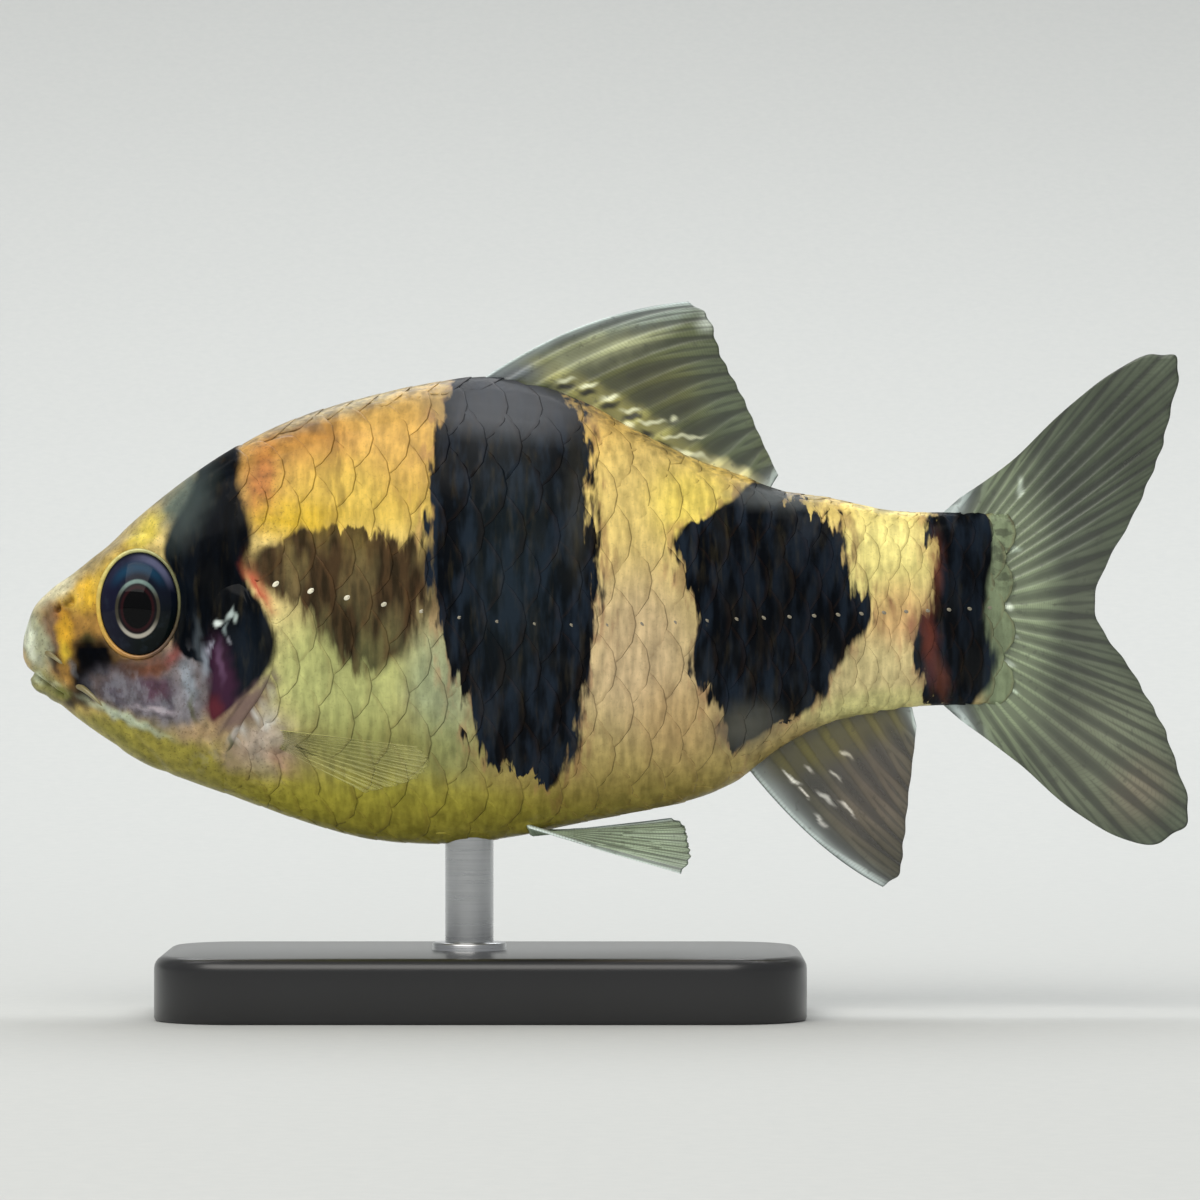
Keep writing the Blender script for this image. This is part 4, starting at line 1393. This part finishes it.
# The barbels: two soft feelers of skin on each side, one by the upper lip and one at the corner of the mouth.
# Each grows out of the face and thins to its tip.
# Behind the snout, above the axis, length, radius at the root, droop.
BARBELS = ((1.5, -2.0, 1.4, 0.22, 0.5), (3.4, -4.0, 2.2, 0.25, 0.6))
BARBEL_TIP = 0.07
barbel_material, barbel_tree, barbel_shader = shaded_material("barbel_skin", roughness=0.3, coat=0.5)
barbel_along = form_parts(barbel_tree)[0]
barbel_tone = blend_colour(barbel_tree, barbel_along, pigment(112, 100, 60), pigment(136, 128, 88))
barbel_tree.links.new(barbel_tone, barbel_shader.inputs["Base Color"])
for side_name, side in SIDES:
    for number, (back, up, length, radius, droop) in enumerate(BARBELS):
        share = np.linspace(0.0, 1.0, 40)
        along = back + length * 0.8 * share
        height = up - droop * length * share**1.4
        reach = skin_out(along, up - droop * length * share) + 0.65 * share
        spread = skin_out(np.array([back]), np.array([up]))[0] + 1.15 * np.sin(share * math.pi / 2)
        path = world(along, side * (np.maximum(spread, reach) - 0.35), height)
        taper = (radius + (BARBEL_TIP - radius) * share) * np.sqrt(np.clip((1 - share) * 9, 0, 1))
        taper = taper * np.clip(share * 40, 0, 1)
        barbel_mesh = tube(f"barbel_{side_name}_{number + 1}", path, taper, (0, 0, 1))
        barbel_mesh.materials.append(barbel_material)
        barbel = link_object(barbel_mesh.name, barbel_mesh)
        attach(barbel, "root")

# The fins: a clear skin between jointed rays that fork towards the rim. The front rays are the stoutest, and
# the skin sags a little between the tips. Each root runs on into the body.
FIN_COLUMNS = 16
FIN_MEMBRANE = 0.045
DORSAL_ROOT = (27.9, 46.2)
DORSAL_RAYS = 11
DORSAL_RIM = (
    (0.0, 41.3, 19.8), (0.1, 42.3, 19.2), (0.35, 43.4, 16.4), (0.6, 44.8, 13.7), (0.8, 45.8, 11.4),
    (1.0, 46.9, 9.0),
)
ANAL_ROOT = (44.9, 55.1)
ANAL_RAYS = 8
ANAL_RIM = (
    (0.0, 53.4, -16.6), (0.12, 54.3, -16.0), (0.35, 54.7, -14.0), (0.6, 55.0, -11.2), (0.8, 55.3, -8.6),
    (1.0, 55.5, -6.6),
)
TAIL_RAYS = 27
TAIL_RIM = (
    (0.0, 58.2, 7.6), (0.05, 61.4, 9.9), (0.1, 65.3, 13.6), (0.14, 68.8, 16.1), (0.18, 71.2, 16.6),
    (0.28, 71.1, 12.0), (0.39, 69.4, 7.3), (0.5, 66.6, 1.1), (0.61, 69.2, -3.6), (0.72, 71.4, -8.0),
    (0.82, 71.9, -13.2), (0.86, 69.4, -14.0), (0.9, 65.7, -12.2), (0.95, 61.8, -8.9), (1.0, 58.2, -6.2),
)
PELVIC_RAYS = 9
PELVIC_ROOT = ((0.0, 31.9, 2.2, -12.9), (1.0, 32.1, 0.9, -13.3))
PELVIC_RIM = (
    (0.0, 40.8, 4.4, -15.6), (0.15, 41.3, 4.1, -15.0), (0.5, 41.3, 3.0, -13.8), (0.85, 40.9, 1.9, -12.6),
    (1.0, 40.3, 1.4, -12.4),
)
PECTORAL_RAYS = 11
PECTORAL_ROOT = ((0.0, 16.5, 4.5, -6.8), (1.0, 16.3, 4.2, -8.0))
PECTORAL_RIM = (
    (0.0, 24.7, 6.9, -7.7), (0.3, 25.4, 7.1, -8.6), (0.65, 24.4, 6.7, -9.8), (1.0, 21.4, 5.9, -10.6),
)


# The colours of the fins, as in the table of the skin's: each fin's own, then soft patches over them, and how
# clear the skin between the rays is.
FIN_TONES = {
    "dorsal": ((72, 78, 50), 0.86),
    "anal": ((68, 66, 54), 0.82),
    "tail": ((72, 80, 64), 0.86),
    "pelvic": ((136, 150, 128), 0.6),
    "pectoral": ((160, 158, 96), 0.06),
}
FIN_COLOURS = (
    ("dorsal front light", 35.6, 16.7, 3.8, 0.9, 19, 0.7, 0.8, (176, 180, 138)),
    ("dorsal olive", 38.6, 14.6, 3.6, 1.7, -8, 0.8, 0.7, (76, 76, 38)),
    ("dorsal top grey", 39.2, 18.9, 3.4, 0.7, 12, 0.8, 0.7, (128, 140, 132)),
    ("dorsal tip", 42.7, 18.8, 0.6, 0.8, -20, 0.8, 0.8, (190, 198, 186)),
    ("dorsal rear grey", 44.0, 13.2, 1.6, 4.2, 18, 0.7, 0.6, (74, 84, 68)),
    ("dorsal foot rear", 43.8, 9.2, 2.2, 0.5, -22, 0.8, 0.85, (222, 216, 158)),
    ("dorsal foot", 37.0, 12.9, 5.0, 0.8, -30, 0.7, 0.7, (176, 170, 96)),
    ("dorsal front foot", 30.4, 15.3, 1.9, 0.5, 8, 0.7, 0.85, (96, 102, 108)),
    ("tail root", 61.3, 0.6, 2.5, 8.4, 0, 0.6, 0.9, (130, 142, 112)),
    ("tail middle", 66.0, 1.0, 1.6, 3.6, 0, 0.8, 0.5, (74, 78, 66)),
    ("tail upper lobe", 68.0, 10.4, 4.6, 3.6, 40, 0.9, 0.8, (50, 58, 42)),
    ("tail lower lobe", 67.4, -8.2, 4.2, 3.4, -40, 0.9, 0.65, (108, 112, 92)),
    ("tail lower lobe rose", 69.4, -10.6, 1.6, 1.8, -30, 0.9, 0.4, (118, 100, 86)),
    ("anal foot", 50.0, -7.6, 5.6, 1.2, 22, 0.7, 0.85, (92, 86, 38)),
    ("anal rear rose", 53.0, -10.5, 2.4, 3.0, 0, 0.9, 0.4, (104, 90, 80)),
)
# Small marks on the fins: behind the snout, above the axis, half length, half height, tilt, colour.
DARK_MARK = (26, 28, 24)
PALE_MARK = (226, 228, 190)
FIN_MARKS = (
    (33.72, 14.5, 0.55, 0.2, -8, DARK_MARK),
    (35.05, 14.16, 0.5, 0.2, -8, DARK_MARK),
    (36.38, 13.32, 0.5, 0.24, -4, DARK_MARK),
    (37.84, 12.62, 0.52, 0.22, -4, DARK_MARK),
    (38.82, 11.64, 0.42, 0.2, -20, DARK_MARK),
    (39.86, 10.84, 0.42, 0.26, -24, DARK_MARK),
    (33.72, 14.92, 0.48, 0.16, 6, PALE_MARK),
    (35.1, 14.6, 0.45, 0.14, 4, PALE_MARK),
    (36.38, 13.84, 0.5, 0.19, 4, PALE_MARK),
    (37.7, 13.05, 0.5, 0.14, 2, PALE_MARK),
    (39.03, 12.3, 0.75, 0.13, 0, PALE_MARK),
    (40.49, 12.55, 0.24, 0.16, 20, PALE_MARK),
    (41.05, 11.4, 1.1, 0.12, 0, PALE_MARK),
    (37.63, 12.05, 0.4, 0.24, -10, PALE_MARK),
    (41.6, 10.3, 0.9, 0.16, -14, PALE_MARK),
    (38.68, 10.9, 0.3, 0.3, 0, PALE_MARK),
    (47.75, -9.84, 0.55, 0.12, -40, (238, 236, 224)),
    (48.74, -9.3, 0.32, 0.09, -38, (224, 220, 206)),
    (49.86, -11.06, 0.6, 0.14, -42, (240, 238, 228)),
    (50.41, -9.7, 0.4, 0.09, -40, (222, 218, 204)),
    (49.63, -12.5, 0.45, 0.12, -48, (234, 232, 222)),
    (48.41, -10.75, 0.4, 0.08, -42, (216, 212, 200)),
    (51.2, -11.7, 0.6, 0.1, -48, (208, 202, 190)),
    (51.08, -8.4, 0.45, 0.1, -34, (206, 200, 180)),
    (61.18, 0.82, 0.3, 0.2, 0, (218, 228, 206)),
    (61.9, 8.26, 0.16, 0.55, -8, (196, 208, 190)),
    (60.96, 2.5, 0.34, 0.16, 8, (190, 204, 180)),
    (61.5, -1.07, 0.4, 0.14, -6, (190, 202, 182)),
    (61.3, -2.7, 0.4, 0.14, -14, (186, 198, 178)),
    (61.6, 4.4, 0.4, 0.14, 20, (180, 194, 172)),
    (61.4, -4.4, 0.4, 0.14, -26, (178, 192, 170)),
)


def ray_ridges(across, along, rays):
    """How near a place is to a ray or one of its forks, and how far it is between two rays."""
    place = across * (rays - 1) + 0.5
    off = place - np.floor(place) - 0.5
    first_fork = 0.23 * ease((along - 0.38) / 0.5)
    second_fork = 0.11 * ease((along - 0.66) / 0.34)
    width = 0.2 - 0.12 * along
    ridges = 0
    for first in (-1, 1):
        for second in (-1, 1):
            ridges = np.maximum(ridges, bump(off - first * first_fork - second * second_fork, width))
    return ridges, (1 - np.cos(off * 2 * math.pi)) / 2


def fin_colour(kind, back, up, across, along, rays):
    """The skin's colour at each point of a fin, and how solid it is."""
    tone, clear = FIN_TONES[kind]
    colour = np.zeros((len(back), 3)) + np.array(pigment(*tone)[:3])
    solid = np.full((len(back), 1), clear)
    soft = [row for row in FIN_COLOURS if row[0].split()[0] == kind]
    colour, _ = patched(colour, 0.0, soft, back, up)
    if kind not in ("pelvic", "pectoral"):
        marks = [("mark", *row[:5], 0.6, 0.95, row[5]) for row in FIN_MARKS]
        colour, solid = patched(colour, solid, marks, back, up)
    edge = bump(np.minimum(across, 1 - across) * (rays - 1), 0.45)
    edge_tone = pigment(186, 198, 196)[:3]
    if kind == "pectoral":
        # Only its upper edge shows, as a pale yellow line near the root.
        edge = bump(across * (rays - 1), 0.45) * (1 - ease((along - 0.25) / 0.4))
        edge_tone = pigment(228, 224, 140)[:3]
    edge = edge[:, None]
    colour = colour + (np.array(edge_tone) - colour) * edge * 0.75
    return np.concatenate([colour, np.maximum(solid, edge * 0.8)], axis=-1)


def fin(name, kind, rays, rows, root, rim, bow, lay, stout, wave):
    """One fin: root and rim give places for a share of the way across, lay is the way that it is thin."""
    mesh, across, along, face = sheets(name, (rays - 1) * FIN_COLUMNS, rows)
    ridges, between = ray_ridges(across, along, rays)
    reach = along * (1 - 0.012 * between * along**6)
    start, end = root(across), rim(across)
    middle = start + (end - start) * reach[:, None]
    middle[:, 2] += bow * (1 - across) * 4 * reach * (1 - reach)
    lay = np.asarray(lay, float)
    lay = lay / np.linalg.norm(lay)
    sway = wave * np.sin(across * 7.0 + along * 3.0) * along + 0.04 * (between - 0.5) * along
    edge = np.minimum(across, 1 - across) * (rays - 1)
    stoutness = stout * (1 - 0.75 * along) * (1 + 0.6 * bump(across * (rays - 1), 0.8))
    half = FIN_MEMBRANE + ridges * stoutness
    half = half * np.sqrt(np.clip(1 - (1 - np.clip(edge / 0.14, 0, 1)) ** 2, 0, 1))
    half = half * np.sqrt(np.clip(1 - (1 - np.clip((1 - along) / 0.02, 0, 1)) ** 2, 0, 1))
    half = np.where(along > 0, half, 0.0)
    points = middle + lay * (sway + face * half)[:, None]
    write_points(mesh, world(points[:, 0], points[:, 1], points[:, 2]))
    keep_form(mesh, ridges, along, across, between)
    colours = fin_colour(kind, points[:, 0], points[:, 2], across, along, rays)
    store(mesh, "ground", colours)
    close_up(mesh)
    mesh.materials.append(fin_material)
    piece = link_object(name, mesh)
    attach(piece, "root")
    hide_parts(name.replace("_rays", "_fin"))


def on_edge(span, top, sink):
    """The root of a fin along the back or the belly, sunk into the body."""

    def root(across):
        back = span[0] + (span[1] - span[0]) * across
        middle, half_height = section(back)[:2]
        up = middle + (half_height - sink) * (1 if top else -1)
        return np.stack([back, np.zeros_like(back), up], axis=-1)

    return root


def tail_root(across):
    share = 1 - 2 * across
    middle, half_height = section(np.array([PADDLE_START]))[:2]
    back = PADDLE_START - 0.6 + (PADDLE_LENGTH - 0.2) * (1 - np.abs(share) ** 4) ** 0.25
    return np.stack([back, np.zeros_like(back), middle[0] + (half_height[0] - 0.5) * share], axis=-1)


def flat_rim(table):
    def rim(across):
        back, up = np.moveaxis(smooth(table, across), -1, 0)
        return np.stack([back, np.zeros_like(back), up], axis=-1)

    return rim


def paired(table, side, sink, toward=None):
    """A curve of a paired fin on one side, sunk towards the body by a share of the way to another curve."""

    def curve(across):
        places = smooth(table, across)
        if toward is not None:
            places = places - (smooth(toward, across) - places) * sink
        return places * (1, side, 1)

    return curve


fin_material, fin_tree, fin_shader = shaded_material("fin_skin", 0.42, 0.0, 0.22, 0.2)
fin_ridge, fin_along, _, fin_between = form_parts(fin_tree)
fin_ground = wire(fin_tree, "ShaderNodeAttribute", attribute_name="ground")
fin_place = object_place(fin_tree)
fin_cloud = streaks(fin_tree, fin_place, EVEN, 300.0, 3.0)
fin_fleck = streaks(fin_tree, fin_place, EVEN, 2300.0, 2.0)
joints = calc(fin_tree, "SINE", times(fin_tree, fin_along, 330.0))
# The rays are pale against the darker skin between them.
fin_shade = scale_add(fin_tree, soft_step(fin_tree, fin_cloud, 0.3, 0.7), 0.3, 0.65)
ray_light = scale_add(fin_tree, soft_step(fin_tree, fin_ridge, 0.2, 0.85), 0.6, 1.0)
fin_shade = times(fin_tree, fin_shade, ray_light)
fin_gap = soft_step(fin_tree, fin_between, 0.5, 1.0)
fin_gap = times(fin_tree, fin_gap, soft_step(fin_tree, fin_along, 0.15, 0.45))
fin_gap = scale_add(fin_tree, fin_gap, -0.42, 1.1)
fin_shade = times(fin_tree, fin_shade, fin_gap)
fin_tone = enlarge(fin_tree, fin_ground.outputs["Color"], fin_shade)
joint_share = soft_step(fin_tree, joints, 0.5, 1.0)
joint_share = times(fin_tree, joint_share, times(fin_tree, fin_ridge, 0.3))
fin_tone = blend_colour(fin_tree, joint_share, fin_tone, pigment(70, 72, 58))
fleck_share = times(fin_tree, soft_step(fin_tree, fin_fleck, 0.6, 0.72), 0.35)
fin_tone = blend_colour(fin_tree, fleck_share, fin_tone, pigment(54, 56, 48))
fin_tree.links.new(fin_tone, fin_shader.inputs["Base Color"])
solidity = scale_add(
    fin_tree, soft_step(fin_tree, fin_ridge, 0.15, 0.8),
    scale_add(fin_tree, fin_ground.outputs["Alpha"], 0.2, 0.22), fin_ground.outputs["Alpha"],
)
root_share = soft_drop(fin_tree, fin_along, 0.0, 0.16)
solidity = calc(fin_tree, "MAXIMUM", solidity, root_share)
fin_tree.links.new(solidity, fin_shader.inputs["Alpha"])
raise_pattern(fin_tree, fin_shader, joints, 0.15, 0.00002)

UPRIGHT = (0, 1, 0)
fin("dorsal_rays", "dorsal", DORSAL_RAYS, 72, on_edge(DORSAL_ROOT, True, 0.5), flat_rim(DORSAL_RIM), 1.05,
    UPRIGHT, 0.09, 0.16)
fin("anal_rays", "anal", ANAL_RAYS, 60, on_edge(ANAL_ROOT, False, 0.5), flat_rim(ANAL_RIM), -0.8,
    UPRIGHT, 0.09, 0.14)
fin("tail_rays", "tail", TAIL_RAYS, 72, tail_root, flat_rim(TAIL_RIM), 0.0, UPRIGHT, 0.07, 0.16)
for side_name, side in SIDES:
    fin(f"pelvic_rays_{side_name}", "pelvic", PELVIC_RAYS, 56,
        paired(PELVIC_ROOT, side, 0.07, PELVIC_RIM), paired(PELVIC_RIM, side, 0.0), 0.0,
        (0, side * 0.75, -0.66), 0.12, 0.1)
    fin(f"pectoral_rays_{side_name}", "pectoral", PECTORAL_RAYS, 56,
        paired(PECTORAL_ROOT, side, 0.09, PECTORAL_RIM), paired(PECTORAL_RIM, side, 0.0), 0.0,
        (-0.22, side * 0.97, 0.05), 0.09, 0.1)

# The stand: a low foot of black lacquered wood with rounded edges, and a brushed steel rod let into it and
# into the belly.
STAND_BASE = (40.0, 22.0, 4.0)
STAND_BASE_BACK = 28.5
STAND_CORNER = 5.0
STAND_EDGE = 0.8
STAND_FOOT_EDGE = 0.25
ROD_RADIUS = 1.5
ROD_BACK = 27.7
ROD_FOOT = 3.2
ROD_TOP = 13.6
COLLAR_RADIUS = 2.3
COLLAR_HEIGHT = 0.5
COLLAR_TOP = STAND_BASE[2] + COLLAR_HEIGHT
SHARP_ANGLE = math.radians(40)
foot = bmesh.new()
bmesh.ops.create_cube(foot, size=1.0)
bmesh.ops.scale(foot, vec=[side * MM for side in STAND_BASE], verts=foot.verts)
foot_place = ((SNOUT_X + STAND_BASE_BACK) * MM, 0.0, STAND_BASE[2] / 2 * MM)
bmesh.ops.translate(foot, vec=foot_place, verts=foot.verts)
corners = [e for e in foot.edges if abs(e.verts[0].co.z - e.verts[1].co.z) > MM]
bevel = {"profile": 0.5, "affect": "EDGES", "material": -1}
bmesh.ops.bevel(foot, geom=corners, offset=STAND_CORNER * MM, segments=14, **bevel)
upper = [e for e in foot.edges if min(v.co.z for v in e.verts) > (STAND_BASE[2] - 0.01) * MM]
bmesh.ops.bevel(foot, geom=upper, offset=STAND_EDGE * MM, segments=6, **bevel)
lower = [e for e in foot.edges if max(v.co.z for v in e.verts) < 0.01 * MM]
bmesh.ops.bevel(foot, geom=lower, offset=STAND_FOOT_EDGE * MM, segments=3, **bevel)
bmesh.ops.recalc_face_normals(foot, faces=foot.faces[:])
lacquer, lacquer_tree, lacquer_shader = shaded_material(
    "black_lacquer", 0.32, coat=0.3, coat_roughness=0.25
)
lacquer_place = object_place(lacquer_tree)
lacquer_cloud = streaks(lacquer_tree, lacquer_place, EVEN, 110.0, 3.0)
lacquer_tone = blend_colour(lacquer_tree, lacquer_cloud, pigment(20, 20, 21), pigment(30, 30, 31))
lacquer_tree.links.new(lacquer_tone, lacquer_shader.inputs["Base Color"])
lacquer_peel = streaks(lacquer_tree, lacquer_place, EVEN, 900.0, 2.0)
raise_pattern(lacquer_tree, lacquer_shader, lacquer_peel, 0.12, 0.00004)
foot_mesh = mesh_from("stand_foot", foot)
foot_mesh.materials.append(lacquer)
foot_mesh.set_sharp_from_angle(angle=SHARP_ANGLE)

rod = bmesh.new()
profile = (
    (0.0, ROD_FOOT), (COLLAR_RADIUS, ROD_FOOT), (COLLAR_RADIUS, COLLAR_TOP - 0.15),
    (COLLAR_RADIUS - 0.05, COLLAR_TOP - 0.05), (COLLAR_RADIUS - 0.15, COLLAR_TOP),
    (ROD_RADIUS + 0.02, COLLAR_TOP), (ROD_RADIUS, COLLAR_TOP + 0.02), (ROD_RADIUS, ROD_TOP),
    (0.0, ROD_TOP),
)
rod_x = (SNOUT_X + ROD_BACK) * MM
spine = [rod.verts.new((rod_x + radius * MM, 0.0, height * MM)) for radius, height in profile]
edges = [rod.edges.new(pair) for pair in zip(spine, spine[1:])]
bmesh.ops.spin(
    rod, geom=spine + edges, cent=(rod_x, 0.0, 0.0), axis=(0.0, 0.0, 1.0), angle=2 * math.pi, steps=72,
    use_merge=True,
)
bmesh.ops.remove_doubles(rod, verts=rod.verts[:], dist=0.001 * MM)
bmesh.ops.recalc_face_normals(rod, faces=rod.faces[:])
steel, steel_tree, steel_shader = shaded_material("brushed_steel", roughness=0.3, metallic=1.0)
steel_place = object_place(steel_tree)
steel_lines = streaks(steel_tree, steel_place, (0.02, 0.02, 1.0), 9000.0, 3.0)
steel_tone = blend_colour(steel_tree, steel_lines, pigment(168, 170, 172), pigment(206, 207, 208))
steel_tree.links.new(steel_tone, steel_shader.inputs["Base Color"])
steel_polish = scale_add(steel_tree, steel_lines, 0.2, 0.2)
steel_tree.links.new(steel_polish, steel_shader.inputs["Roughness"])
raise_pattern(steel_tree, steel_shader, steel_lines, 0.2, 0.00001)
rod_mesh = mesh_from("stand_steel_rod", rod)
rod_mesh.materials.append(steel)
rod_mesh.set_sharp_from_angle(angle=SHARP_ANGLE)
for mesh, slot_name, node in ((foot_mesh, "stand_base", "stand_base"), (rod_mesh, "stand_rod", "stand_rod")):
    piece = link_object(mesh.name, mesh)
    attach(piece, "root")
    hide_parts(node)

bpy.context.view_layer.update()
